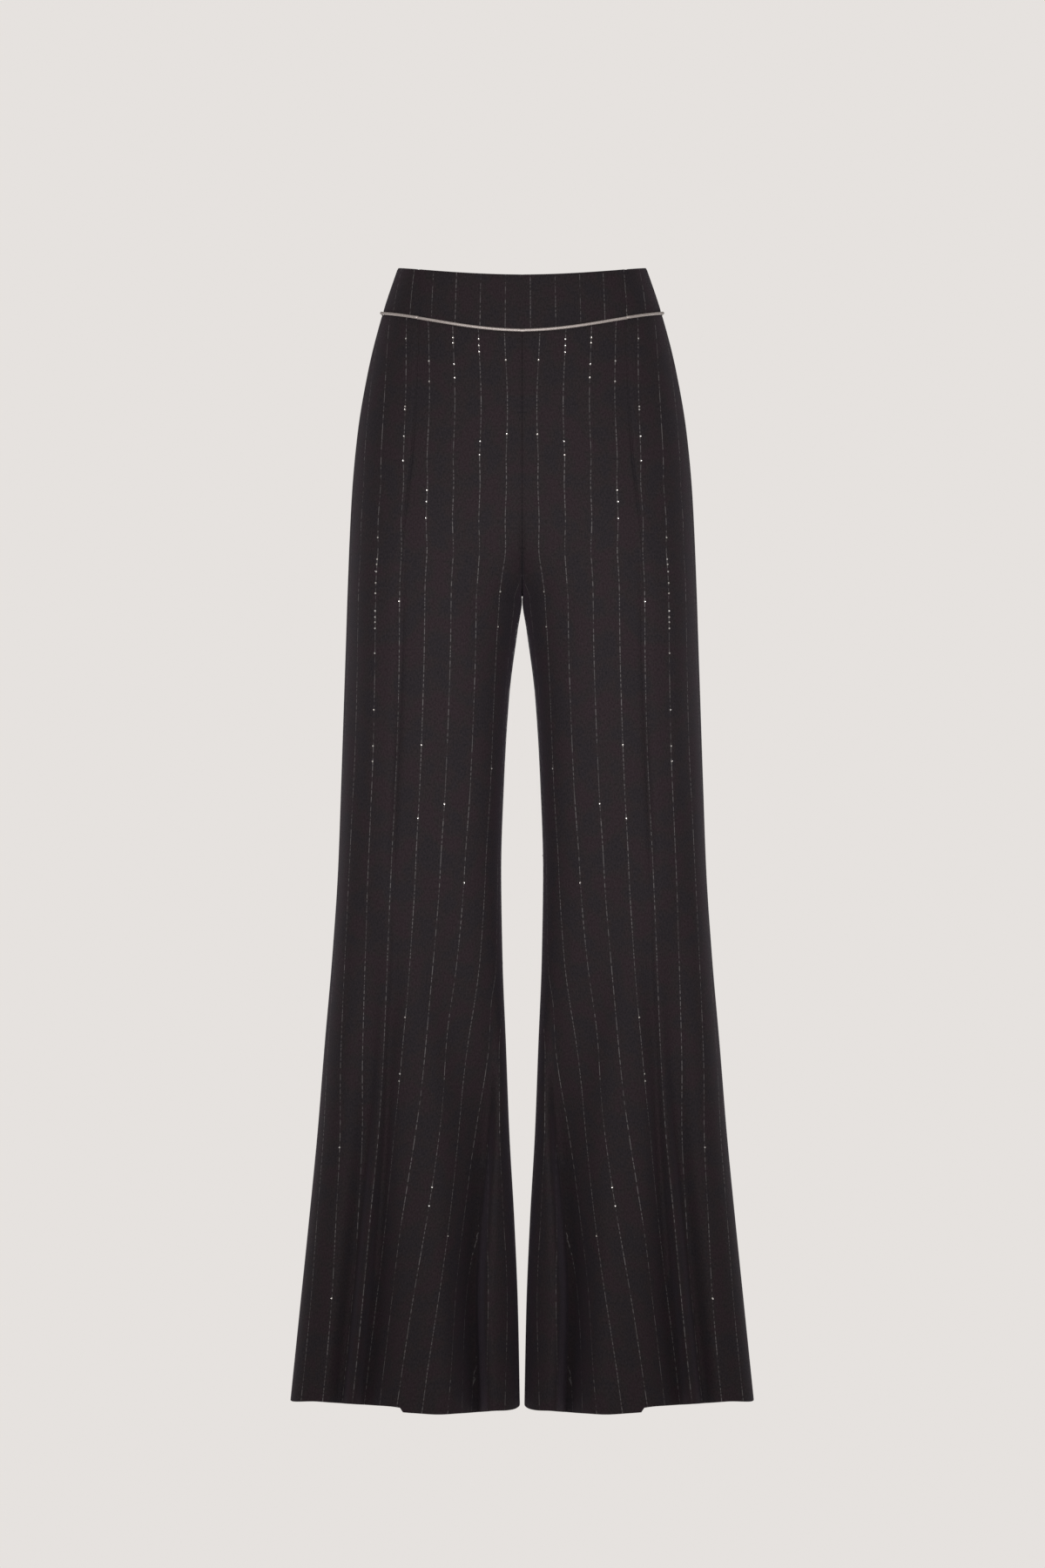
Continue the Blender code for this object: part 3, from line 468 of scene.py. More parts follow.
# %% [markdown]
# ## Where the stripes run
#
# Stripes are woven in, so they lie along the cut of the cloth, not along the folded form. The
# front is cut so that the fifth stripe from the centre is the pressed crease, and all the others
# run beside it, one pitch of cloth apart. So each point gets a cloth coordinate: its distance
# from the crease, measured along the cloth. Where the cloth dips into a fold, the stripes seen
# from the front crowd together, just as they do on the real one. At the top the crease bends off
# the grain, because a tuck takes cloth in there, and at the knee the cloth is eased in a little.
#
# The flute beside the inseam follows its own edge: from the knee down its stripes are counted
# from a line that runs along it, and they meet the others in the dark of the valley.

# %% Cloth coordinates
STRIPE_PITCH = 0.0255
FRONT_GRAIN_COLUMNS = ("height", "stripe_on_crease", "pitch")
FRONT_GRAIN = (
    (-0.045, 3.45, 0.0252),
    (-0.108, 3.58, 0.0254),
    (-0.167, 3.64, 0.0256),
    (-0.200, 3.79, 0.0255),
    (-0.234, 3.87, 0.0255),
    (-0.268, 4.00, 0.0255),
    (-0.487, 4.00, 0.0250),
    (-0.572, 4.00, 0.0241),
    (-0.740, 4.00, 0.0229),
    (-0.828, 4.00, 0.0238),
    (-0.912, 4.00, 0.0248),
    (-1.095, 4.00, 0.0256),
)
BACK_GRAIN_COLUMNS = ("height", "across", "stripe")
BACK_GRAIN = (
    (-0.045, 0.0800, 2.70),
    (-0.300, 0.0900, 3.00),
    (-0.600, 0.1080, 3.00),
    (-1.100, 0.1530, 3.00),
)

# The line along the inner flute, and where its stripes part from the others
FLUTE_STRIPE = -2
FLUTE_LINE_COLUMNS = ("height", "across")
FLUTE_LINE = (
    (-0.740, 0.0226),
    (-0.825, 0.0220),
    (-0.892, 0.0191),
    (-0.993, 0.0145),
    (-1.095, 0.0168),
)
FLUTE_STARTS = -0.660
FLUTE_PARTED = -0.810
FLUTE_BEGINS_SOONER = 1.6
PARTING_WIDTH = 0.0100
PARTED_WIDTH = 0.0008


def never_back(values):
    """The same values, raised where they fall back, so that they can be searched in order."""
    return np.maximum.accumulate(values) + 1e-9 * np.arange(len(values))


def where_crossed(points, length, across):
    """How far along a row its cloth crosses a line at the distances across from the centre."""
    return float(np.interp(0.0, never_back(across - points[:, 0]), length))


def back_stripes(points):
    """How many stripe pitches out from the centre back each point of a row lies."""
    z = points[:, 2]
    length = length_along(points[:, :2])
    across = read(BACK_GRAIN, BACK_GRAIN_COLUMNS, "across", z)
    stripe = read(BACK_GRAIN, BACK_GRAIN_COLUMNS, "stripe", z)
    at = where_crossed(points, length, across)
    return np.interp(at, length, stripe) + (at - length) / STRIPE_PITCH


def front_stripes(points):
    """How many stripe pitches out from the centre front each point of a row lies."""
    z = points[:, 2]
    length = length_along(points[:, :2])
    stripe = read(FRONT_GRAIN, FRONT_GRAIN_COLUMNS, "stripe_on_crease", z)
    pitch = read(FRONT_GRAIN, FRONT_GRAIN_COLUMNS, "pitch", z)
    at = where_crossed(points, length, read(CREASE, CREASE_COLUMNS, "across", z))
    counted = np.interp(at, length, stripe) + (at - length) / pitch
    at = where_crossed(points, length, read(FLUTE_LINE, FLUTE_LINE_COLUMNS, "across", z))
    on_flute = FLUTE_STRIPE + (at - length) / pitch
    valley = read(FRONT_VALLEYS["beside_inner_flute"], VALLEY_COLUMNS, "across", z)
    down_flute = (FLUTE_STARTS - z) / (FLUTE_STARTS - FLUTE_PARTED)
    begun = smooth_step(down_flute * FLUTE_BEGINS_SOONER)
    parted = smooth_step(down_flute)
    width = PARTING_WIDTH + (PARTED_WIDTH - PARTING_WIDTH) * parted
    return counted + begun * smooth_step((valley - points[:, 0]) / width) * (on_flute - counted)


def stripes_along(points, face):
    """The stripe count of each point of a row."""
    return front_stripes(points) if face == FRONT else back_stripes(points)


for height in (-0.06, -0.30, -0.60, HEM):
    row = surface(np.linspace(0, 1, SECTION_SAMPLES), np.full(SECTION_SAMPLES, height), FRONT)
    counted = stripes_along(row, FRONT)
    print(f"at {height:.2f} m the front shows stripes {counted[-1]:.1f} to {counted[0]:.1f}")

# %% [markdown]
# ## A wall of cloth
#
# A panel is a grid of points for its outside, and a second grid one cloth thickness further in.
# Joining the two along all four edges gives a closed wall, which casts true shadows and shows an
# edge at the hem. A middle row round the edge stands a little proud where the cloth is folded
# over, so the hem looks soft and not sawn off. Cloth coordinates go into the UV map.

# %% Mesh helpers
SHARP_ANGLE = 1.25
PROUD_SHARE = 0.35


def new_mesh(name, points, faces, uv=None, sharp_angle=SHARP_ANGLE):
    """A smooth mesh object from arrays; uv has a row for each point."""
    mesh = bpy.data.meshes.new(name)
    mesh.from_pydata(points.tolist(), [], faces)
    mesh.update()
    if uv is not None:
        layer = mesh.uv_layers.new(name="UVMap")
        corners = np.zeros(len(mesh.loops), int)
        mesh.loops.foreach_get("vertex_index", corners)
        layer.data.foreach_set("uv", np.asarray(uv, float)[corners].ravel())
    mesh.shade_smooth()
    mesh.set_sharp_from_angle(angle=sharp_angle)
    made = bpy.data.objects.new(name, mesh)
    bpy.context.scene.collection.objects.link(made)
    return made


def edge_of(rows, columns):
    """The grid places round a grid's edge, in order."""
    return (
        [(0, c) for c in range(columns - 1)]
        + [(r, columns - 1) for r in range(rows - 1)]
        + [(rows - 1, c) for c in range(columns - 1, 0, -1)]
        + [(r, 0) for r in range(rows - 1, 0, -1)]
    )


def cloth_wall(name, outer, inner, uv, proud_rows=()):
    """A closed wall between two grids; the grid rows in proud_rows get a rounded edge."""
    rows, columns = outer.shape[:2]
    count = rows * columns
    edge = edge_of(rows, columns)
    middles = []
    for r, c in edge:
        middle = (outer[r, c] + inner[r, c]) / 2
        if r in proud_rows:
            beside = 1 if r == 0 else rows - 2
            away = outer[r, c] - outer[beside, c]
            middle = middle + away / np.linalg.norm(away) * CLOTH * PROUD_SHARE
        middles.append(middle)
    points = np.concatenate([outer.reshape(-1, 3), inner.reshape(-1, 3), np.array(middles)])
    faces = []
    for r in range(rows - 1):
        for c in range(columns - 1):
            a = r * columns + c
            b = a + columns
            faces.append((a, a + 1, b + 1, b))
            faces.append((count + a, count + b, count + b + 1, count + a + 1))
    for k, (r, c) in enumerate(edge):
        next_r, next_c = edge[(k + 1) % len(edge)]
        a = r * columns + c
        b = next_r * columns + next_c
        m = 2 * count + k
        n = 2 * count + (k + 1) % len(edge)
        faces.append((a, m, n, b))
        faces.append((m, count + a, count + b, n))
    flat = uv.reshape(-1, 2)
    edge_uv = np.array([uv[r, c] for r, c in edge])
    made = new_mesh(name, points, faces, np.concatenate([flat, flat, edge_uv]))
    face_out(made)
    return made


def face_out(made):
    """Turns a closed mesh's faces outwards."""
    mesh = made.data
    count = len(mesh.vertices)
    places = np.zeros(count * 3)
    mesh.vertices.foreach_get("co", places)
    places = places.reshape(-1, 3)
    mesh.calc_loop_triangles()
    corners = np.zeros(len(mesh.loop_triangles) * 3, int)
    mesh.loop_triangles.foreach_get("vertices", corners)
    a, b, c = (places[corners.reshape(-1, 3)[:, k]] for k in range(3))
    if np.einsum("ij,ij->i", a, np.cross(b, c)).sum() < 0:
        mesh.flip_normals()


def unchanged(points):
    """Points of the wearer's left stay where they were made."""
    return points


def mirrored(points):
    """The same points on the wearer's right."""
    return points * np.array([-1.0, 1.0, 1.0])


def grid_cloth(across, up):
    """Cloth coordinates of a grid from the places of its columns and of its rows."""
    return np.stack(np.broadcast_arrays(across[None, :], up[:, None]), axis=-1)


SIDES = (("left", unchanged), ("right", mirrored))
print("an edge of a 4 by 3 grid has", len(edge_of(4, 3)), "places")

# %% [markdown]
# ## Rows and columns of a panel
#
# A sharp crease only stays sharp if a column of points runs exactly along it. So the columns
# follow the crease and the bottoms and feet of the folds, and the faces between them are shared
# out. A few extra columns lie close to each seam, where the cloth is drawn in by the stitches.

# %% Columns that follow the creases
FRONT_LINES = (
    ("outside_crease", 2.0, 14),
    ("outside_crease", 0.0, 8),
    ("crease", 1.0, 5),
    ("crease", 0.0, 3),
    ("crease", -1.0, 3),
    ("inside_crease", 0.0, 5),
    ("inside_crease", -2.0, 9),
    ("hem_step", 0.5, 2),
    ("hem_step", -0.5, 2),
    ("beside_inner_flute", 2.0, 8),
    ("beside_inner_flute", 0.0, 9),
    ("beside_inner_flute", -2.0, 8),
)
BACK_LINES = (
    ("outer", 2.0, 14),
    ("outer", 0.0, 7),
    ("outer", -2.0, 7),
    ("middle", 2.0, 4),
    ("middle", 0.0, 8),
    ("middle", -2.0, 8),
    ("inner", 2.0, 4),
    ("inner", 0.0, 8),
    ("inner", -2.0, 7),
)
LAST_FACES = 14
FIRST_STOP = 0.0045
LEAST_SPACING = 0.0005
BESIDE_CREASE = 0.0016
BESIDE_SEAM = (0.0, 0.0007, 0.0016, 0.0028)
HEM_ROWS = (0.0, 0.0010, 0.0022, 0.0040)
LEG_STARTS = 0.0075
LEG_ROWS = 170
CROTCH_ROWS = 34
CLOSER_AT_CROTCH = 1.6
TRUNK_ROWS = 40
TRUNK_ENDS = 0.006
TOP_ROWS = (0.0036, 0.0020, 0.0009, SEAM_GAP / 2)


def line_across(name, offset, z, face):
    """Distance from the centre of one of the lines that a panel's columns follow."""
    if name == "crease":
        return read(CREASE, CREASE_COLUMNS, "across", z) + offset * BESIDE_CREASE
    if name == "hem_step":
        step_share = smooth_step((CROTCH - z) / (CROTCH - HEM))
        middle = HEM_STEP_ABOVE_CROTCH + (HEM_STEP_ACROSS - HEM_STEP_ABOVE_CROTCH) * step_share
        return middle + offset * HEM_STEP_WIDTH
    rows = (FRONT_VALLEYS if face == FRONT else BACK_VALLEYS)[name]
    slope = read(rows, VALLEY_COLUMNS, "outer_slope" if offset > 0 else "inner_slope", z)
    return read(rows, VALLEY_COLUMNS, "across", z) + offset * slope


def row_turns(level, face):
    """A row's turns, their distance from the nearer seam, and their stripe count."""
    lines = FRONT_LINES if face == FRONT else BACK_LINES
    samples = np.linspace(0.0, 1.0, SECTION_SAMPLES)
    points = surface(samples, panel_heights(level, samples, face), face)
    length = length_along(points)
    whole = length[-1]
    across = never_back(-points[:, 0])
    stops = [FIRST_STOP]
    faces = []
    for name, offset, count in lines:
        at = float(np.interp(-line_across(name, offset, level, face), across, length))
        stops.append(max(at, stops[-1] + count * LEAST_SPACING))
        faces.append(count)
    stops.append(whole - FIRST_STOP)
    faces.append(LAST_FACES)
    spare = np.cumsum(np.array(faces[::-1]) * LEAST_SPACING)[::-1]
    stops[1:-1] = np.minimum(stops[1:-1], stops[-1] - spare[1:])
    places = [np.linspace(a, b, n, endpoint=False) for a, b, n in zip(stops, stops[1:], faces)]
    beside = np.array(BESIDE_SEAM)
    at = np.concatenate([beside, *places, [stops[-1]], whole - beside[::-1]])
    stripes = np.interp(at, length, stripes_along(points, face))
    return np.interp(at, length, samples), np.minimum(at, whole - at), stripes


def panel_levels(face):
    """Heights of a panel's rows at the side seam, closer at the hem, the crotch and the top."""
    rise = FRONT_RISE if face == FRONT else BACK_RISE
    hem = HEM + np.array(HEM_ROWS)
    leg = np.linspace(HEM + LEG_STARTS, CROTCH, LEG_ROWS)
    over = CROTCH + rise * np.linspace(0, 1, CROTCH_ROWS)[1:] ** CLOSER_AT_CROTCH
    trunk = np.linspace(CROTCH + rise, WAIST_SEAM - TRUNK_ENDS, TRUNK_ROWS)[1:]
    top = WAIST_SEAM - np.array(TOP_ROWS)
    return np.concatenate([hem, leg, over, trunk, top])


print("rows in front", len(panel_levels(FRONT)), "columns", len(row_turns(-0.6, FRONT)[0]))

# %% [markdown]
# ## The four panels
#
# The stitches of a seam draw the cloth in, so each edge of a panel sinks by half a millimetre
# over a few millimetres, and by twice as much at the two centre seams, which carry the most
# strain. That soft groove is what lets a seam be seen in dark cloth. At the centre back the edges
# part a little round the slider of the hidden zip.

# %% Panels
SEAM_SINK = 0.00045
SEAM_SINK_REACH = 0.0016
CENTRE_SINKS_MORE = 2.2
SLIDER_HEIGHT = 0.0165
SLIDER_OPENS = 0.00065
SLIDER_OPENS_REACH = 0.0060
HEM_DROPS_OVER = 0.04
CENTRE_FROM_TURN = 0.5


def zip_edge(z):
    """Half of the gap between the two sides of the centre back."""
    return SEAM_GAP / 2 + SLIDER_OPENS * bell(z - SLIDER_HEIGHT, SLIDER_OPENS_REACH)


def clear_of_seams(points, face):
    """Keeps half a seam's gap from the side seam, the inseam and the centre."""
    points = points.copy()
    centre = zip_edge(points[..., 2]) if face == BACK else SEAM_GAP / 2
    points[..., 0] = np.maximum(points[..., 0], centre)
    points[..., 1] = face * np.maximum(face * points[..., 1], SEAM_GAP / 2)
    return points


def panel_grids(face):
    """Outer points, inner points, cloth coordinates and normals of a panel at +X."""
    outer, inner, cloth, normals = [], [], [], []
    for level in panel_levels(face):
        turn, from_seam, stripes = row_turns(level, face)
        z = panel_heights(level, turn, face)
        outside = surface(turn, z, face)
        normal = outward(turn, z, face)
        from_top = WAIST_SEAM - level
        beside = bell(from_seam, SEAM_SINK_REACH)
        if level > CROTCH:
            beside = beside * np.where(turn > CENTRE_FROM_TURN, CENTRE_SINKS_MORE, 1.0)
        sink = np.maximum(beside, bell(from_top, SEAM_SINK_REACH))
        outside = outside - SEAM_SINK * sink[:, None] * normal
        lowering = 1 - smooth_step((level - HEM) / HEM_DROPS_OVER)
        outside[:, 2] -= lowering * hem_drop(outside[:, 0], face)
        outer.append(clear_of_seams(outside, face))
        inner.append(clear_of_seams(outside - CLOTH * normal, face))
        cloth.append(np.stack([stripes * STRIPE_PITCH, z], axis=-1))
        normals.append(normal)
    return np.array(outer), np.array(inner), np.array(cloth), np.array(normals)


panels = {}
panel_maps = {}
for face, place in ((FRONT, "front"), (BACK, "back")):
    outer, inner, cloth, normals = panel_grids(face)
    panel_maps[face] = (outer, cloth, normals)
    for side, turn_over in SIDES:
        panel = cloth_wall(
            f"{place}_panel_{side}", turn_over(outer), turn_over(inner), cloth, proud_rows=(0,)
        )
        panels[f"{place}_{side}"] = panel
        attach(panel, "garment")
        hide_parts(f"{place}_{side}")

# %% [markdown]
# ## The waistband
#
# The band is cut in one piece for the front, and in two for the back, which part at the zip. It
# is straight cloth on a curved edge, so its stripes stand upright and don't quite meet those of
# the panels. Its top edge is turned in, so it is rounded.

# %% Waistband
BAND_COLUMNS = 70
BAND_ROWS = 20
BAND_PITCH = 0.0246
BAND_FIRST_STRIPE = 0.0081
BAND_UPRIGHT = 0.8
BAND_LOWEST_ROWS = (0.0, 0.02, 0.045)
BAND_MIDDLE_ROWS = (0.08, 0.95)
BAND_HIGHEST_ROWS = (0.98, 1.0)
TURNED_IN = 0.0004


def even_turns(z_of_turn, face, faces):
    """Turns that are evenly spaced along a line round the waist."""
    samples = np.linspace(0.0, 1.0, SECTION_SAMPLES)
    length = length_along(surface(samples, z_of_turn(samples, face), face))
    return np.interp(np.linspace(0.0, length[-1], faces + 1), length, samples), length[-1]


def band_grids(face):
    """Outer points, inner points, distances from the centre and heights of half a band at +X.
    The distances are measured along the lowest row, and mostly along each row further up."""
    turn, whole = even_turns(waist_seam, face, BAND_COLUMNS)
    beside = np.array(BESIDE_SEAM[1:]) / whole
    turn = np.sort(np.concatenate([turn, beside, 1 - beside]))
    low = waist_seam(turn, face) + SEAM_GAP / 2
    high = waist_top(turn, face)
    middle = np.linspace(*BAND_MIDDLE_ROWS, BAND_ROWS)
    share = np.concatenate([BAND_LOWEST_ROWS, middle, BAND_HIGHEST_ROWS])
    z = low + (high - low) * share[:, None]
    turn = np.broadcast_to(turn, z.shape)
    outside = surface(turn, z, face)
    normal = outward(turn, z, face)
    from_side = np.abs(outside[..., 1])
    sink = bell(z - low, SEAM_SINK_REACH)
    sink = np.maximum(sink, bell(from_side, SEAM_SINK_REACH))
    if face == BACK:
        sink = np.maximum(sink, bell(outside[..., 0], SEAM_SINK_REACH))
    near_top = (share[:, None] - BAND_MIDDLE_ROWS[1]) / (1 - BAND_MIDDLE_ROWS[1])
    turned_in = TURNED_IN * smooth_step(near_top)
    outside = outside - (SEAM_SINK * sink + turned_in)[..., None] * normal
    steps = np.linalg.norm(np.diff(outside, axis=1), axis=2)
    length = np.pad(np.cumsum(steps, axis=1), ((0, 0), (1, 0)))
    from_centre = length[:, -1:] - length
    from_centre = from_centre[:1] + BAND_UPRIGHT * (from_centre - from_centre[:1])
    return outside, outside - CLOTH * normal, from_centre, z


def band_cloth(across, z):
    """Cloth coordinates of a band, whose stripes are counted from a little left of the centre."""
    return np.stack([(across - BAND_FIRST_STRIPE) / BAND_PITCH * STRIPE_PITCH, z], axis=-1)


def finish_band(band, node):
    """Hangs a length of waistband on the garment and hides the solid that it replaces."""
    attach(band, "garment")
    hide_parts(node)


outer, inner, from_centre, z = band_grids(FRONT)
outer[..., 1] = np.minimum(outer[..., 1], -SEAM_GAP / 2)
inner[..., 1] = np.minimum(inner[..., 1], -SEAM_GAP / 2)
outer[:, -1, 0] = 0.0
inner[:, -1, 0] = 0.0
whole_outer, whole_inner = (
    np.concatenate([grid, mirrored(grid)[:, -2::-1]], axis=1) for grid in (outer, inner)
)
whole_cloth = np.concatenate(
    [band_cloth(from_centre, z), band_cloth(-from_centre, z)[:, -2::-1]], axis=1
)
top_row = (whole_outer.shape[0] - 1,)
bands = [cloth_wall("waistband_front_cloth", whole_outer, whole_inner, whole_cloth, top_row)]
finish_band(bands[0], "waistband_front")
outer, inner, from_centre, z = band_grids(BACK)
cloth = band_cloth(from_centre, z)
outer, inner = clear_of_seams(outer, BACK), clear_of_seams(inner, BACK)
for side, turn_over in SIDES:
    band = cloth_wall(
        f"waistband_back_{side}_cloth", turn_over(outer), turn_over(inner), cloth, top_row
    )
    bands.append(band)
    finish_band(band, f"waistband_back_{side}")

# %% [markdown]
# ## Seam allowances
#
# Inside the garment every seam has its two raw edges pressed open. They close the hairline
# between two panels, and they are what one sees when looking in at the waist or at the hem. Each
# is a narrow strip that lies along the seam, just inside the cloth.

# %% Pressed-open seams
ALLOWANCE = 0.0110
ALLOWANCE_THICKNESS = 0.0007
ALLOWANCE_CLEARANCE = 0.00025
ALLOWANCE_LIFT = 0.0005
STRIP_FACES = 8


def seam_strip(middle, across_way, inward_way, sunk=SEAM_SINK):
    """A strip along a seam; across_way and inward_way are unit vectors at each of its points."""
    offsets = np.linspace(-ALLOWANCE, ALLOWANCE, STRIP_FACES + 1)
    lift = ALLOWANCE_LIFT * np.abs(offsets / ALLOWANCE) ** 3
    base = middle + (CLOTH + sunk + ALLOWANCE_CLEARANCE) * inward_way
    outer = base[:, None] + offsets[None, :, None] * across_way[:, None]
    outer = outer + lift[None, :, None] * inward_way[:, None]
    inner = outer + ALLOWANCE_THICKNESS * inward_way[:, None]
    return outer, inner, grid_cloth(offsets + STRIPE_PITCH / 2, length_along(middle))


def tangents_of(points):
    """Unit directions along a line of points."""
    ahead = np.gradient(points, axis=0)
    return ahead / np.linalg.norm(ahead, axis=1, keepdims=True)


def leg_seam(turn, heights):
    """A side seam or inseam: its line, and its across and inward directions."""
    middle = surface(np.full(len(heights), turn), heights, FRONT)
    middle[:, 1] = 0.0
    ahead = tangents_of(middle)
    across_way = np.tile([0.0, 2.0 * turn - 1.0, 0.0], (len(heights), 1))
    return middle, across_way, np.cross(across_way, ahead)


def centre_seam(heights, face):
    """The centre seam of front or back: its line, and its across and inward directions."""
    middle = surface(np.ones(len(heights)), heights, face)
    middle[:, 0] = 0.0
    ahead = tangents_of(middle)
    across_way = np.tile([face, 0.0, 0.0], (len(heights), 1))
    return middle, across_way, np.cross(across_way, ahead)


def finish_strip(strip):
    """Hangs a pair of pressed-open allowances on the garment."""
    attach(strip, "garment")
    return strip


ZIP_END = CROTCH + BACK_RISE
OVER_HEM = 0.002
UNDER_BAND = 0.001
UNDER_CROTCH = 0.006
OVER_CROTCH = 0.0005
side_heights = np.linspace(HEM + OVER_HEM, WAIST_SEAM - UNDER_BAND, 130)
inseam_heights = np.linspace(HEM + OVER_HEM, CROTCH - UNDER_CROTCH, 110)
strips = []
for name, turn, heights in (
    ("side_seam_allowance", 0.0, side_heights),
    ("inseam_allowance", 1.0, inseam_heights),
):
    outer, inner, cloth = seam_strip(*leg_seam(turn, heights))
    for side, turn_over in SIDES:
        strip = cloth_wall(f"{name}_{side}", turn_over(outer), turn_over(inner), cloth)
        strips.append(finish_strip(strip))
front_centre_top = float(waist_seam(np.ones(1), FRONT)[0]) - UNDER_BAND
for name, top, face in (
    ("centre_front_allowance", front_centre_top, FRONT),
    ("centre_back_allowance", ZIP_END, BACK),
):
    heights = CROTCH + OVER_CROTCH + (top - CROTCH) * np.linspace(0, 1, 60) ** 2
    grids = seam_strip(*centre_seam(heights, face), SEAM_SINK * CENTRE_SINKS_MORE)
    strips.append(finish_strip(cloth_wall(name, *grids)))
print(len(strips), "seam strips")

# %% [markdown]
# ## Piping
#
# The pale line in the waist seam is a thin cord wound with a shiny thread. A tube with fine
# slanting ridges gives the winding real shape, so it sparkles as the light moves along it. The
# cord runs in one length across the front, and in two behind.

# %% Piping cord
PIPING_RADIUS = 0.0015
PIPING_SIDES = 16
PIPING_STEPS = 340
WINDING_PITCH = 0.0030
WINDINGS = 3
WINDING_DEPTH = 0.00011
END_SUNK = 0.0014
END_SUNK_REACH = 0.0060


def piping_path(face, count):
    """The piping's middle line at +X, resting on the cloth over the waist seam. Its ends are
    drawn in between the layers of the side seam."""
    turn, whole = even_turns(waist_seam, face, count)
    z = waist_seam(turn, face)
    normal = outward(turn, z, face)
    from_side = whole * np.linspace(0.0, 1.0, count + 1)
    over_cloth = PIPING_RADIUS + SEAM_GAP - SEAM_SINK - END_SUNK * bell(from_side, END_SUNK_REACH)
    path = surface(turn, z, face) + over_cloth[:, None] * normal
    path[0, 1] = face * SEAM_GAP / 2
    normal[0] = (1.0, 0.0, 0.0)
    normal[-1] = (0.0, face, 0.0)
    return path, normal


def wound_cord(name, path, normal):
    """A tube along a path with slanting ridges, closed at both ends."""
    ahead = tangents_of(path)
    up = np.cross(ahead, normal)
    up /= np.linalg.norm(up, axis=1, keepdims=True)
    out = np.cross(up, ahead)
    length = length_along(path)
    angle = 2 * math.pi * np.arange(PIPING_SIDES) / PIPING_SIDES
    wind = WINDINGS * (angle[None, :] - 2 * math.pi * length[:, None] / WINDING_PITCH)
    radius = PIPING_RADIUS - WINDING_DEPTH * (0.5 - 0.5 * np.cos(wind))
    ring = np.cos(angle)[None, :, None] * out[:, None] + np.sin(angle)[None, :, None] * up[:, None]
    points = path[:, None] + radius[..., None] * ring
    rows = len(path)
    faces = []
    for r in range(rows - 1):
        for k in range(PIPING_SIDES):
            a = r * PIPING_SIDES + k
            b = r * PIPING_SIDES + (k + 1) % PIPING_SIDES
            faces.append((a, b, b + PIPING_SIDES, a + PIPING_SIDES))
    faces.append(tuple(range(PIPING_SIDES))[::-1])
    faces.append(tuple((rows - 1) * PIPING_SIDES + k for k in range(PIPING_SIDES)))
    uv = grid_cloth(angle * PIPING_RADIUS, length)[..., ::-1]
    made = new_mesh(name, points.reshape(-1, 3), faces, uv.reshape(-1, 2), sharp_angle=1.5)
    face_out(made)
    return made


pipings = {}
path, normal = piping_path(FRONT, PIPING_STEPS)
whole_path = np.concatenate([path, mirrored(path)[-2::-1]])
whole_normal = np.concatenate([normal, mirrored(normal)[-2::-1]])
pipings["piping_front"] = wound_cord("piping_front_cord", whole_path, whole_normal)
path, normal = piping_path(BACK, PIPING_STEPS)
path[-1, 0] = zip_edge(path[-1, 2])
for side, turn_over in SIDES:
    cord = wound_cord(f"piping_back_{side}_cord", turn_over(path), turn_over(normal))
    pipings[f"piping_back_{side}"] = cord
for node, cord in pipings.items():
    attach(cord, "garment")
    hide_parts(node)
    print(cord.name, len(cord.data.polygons), "faces")

# %% [markdown]
# ## Sequins
#
# A few stripes carry tiny round sequins, sewn on through their middle. They stand in short runs
# in front, and thinly elsewhere. The front ones are listed: the stripe, counted from the
# centre, and the heights along it. Each is a shallow cup, tilted a little at random, so that
# only some of them catch the light.

# %% Front sequins
SEQUIN_RADIUS = 0.00088
SEQUIN_CUP = 0.00018
SEQUIN_THICKNESS = 0.00012
SEQUIN_SIDES = 12
SEQUIN_INNER_RING = 0.55
SEQUIN_OVER_CLOTH = 0.0003
SEQUIN_HUB_SINK = 0.00006
SEQUIN_LEAN = 0.10
STRIPE_END_MARGIN = 0.15
FRONT_SEQUINS = (
    (0, (-0.077, -0.149, -0.300, -0.334, -0.472, -0.927)),
    (1, (-0.0565, -0.063, -0.069, -0.156, -0.169, -0.583, -0.879, -0.897)),
    (2, (-0.055, -0.060, -0.081, -0.094, -0.506)),
    (3, (-0.077, -0.097, -0.203, -0.214, -0.230, -0.449, -0.520, -0.714, -0.769, -0.776)),
    (4, (-0.054, -0.121, -0.124, -0.150, -0.174, -0.310)),
    (5, (-0.248, -0.269, -0.274, -0.281, -0.292, -0.302, -0.319, -0.325, -0.330, -0.336)),
    (5, (-0.360, -0.415, -0.450, -0.465)),
    (6, (-0.842, -0.990)),
)


def stripe_line(stripe, face):
    """Points and normals of the cloth along a stripe, one for each row that it crosses."""
    outer, cloth, normals = panel_maps[face]
    points, ways = [], []
    for row, (across, _), way in zip(outer, cloth.transpose(0, 2, 1), normals):
        counted = across / STRIPE_PITCH
        if counted[-1] + STRIPE_END_MARGIN < stripe < counted[0] - STRIPE_END_MARGIN:
            at = np.interp(-stripe, np.maximum.accumulate(-counted), np.arange(len(row)))
            k = int(at)
            points.append(row[k] * (1 - at + k) + row[k + 1] * (at - k))
            ways.append(way[k])
    return np.array(points), np.array(ways)


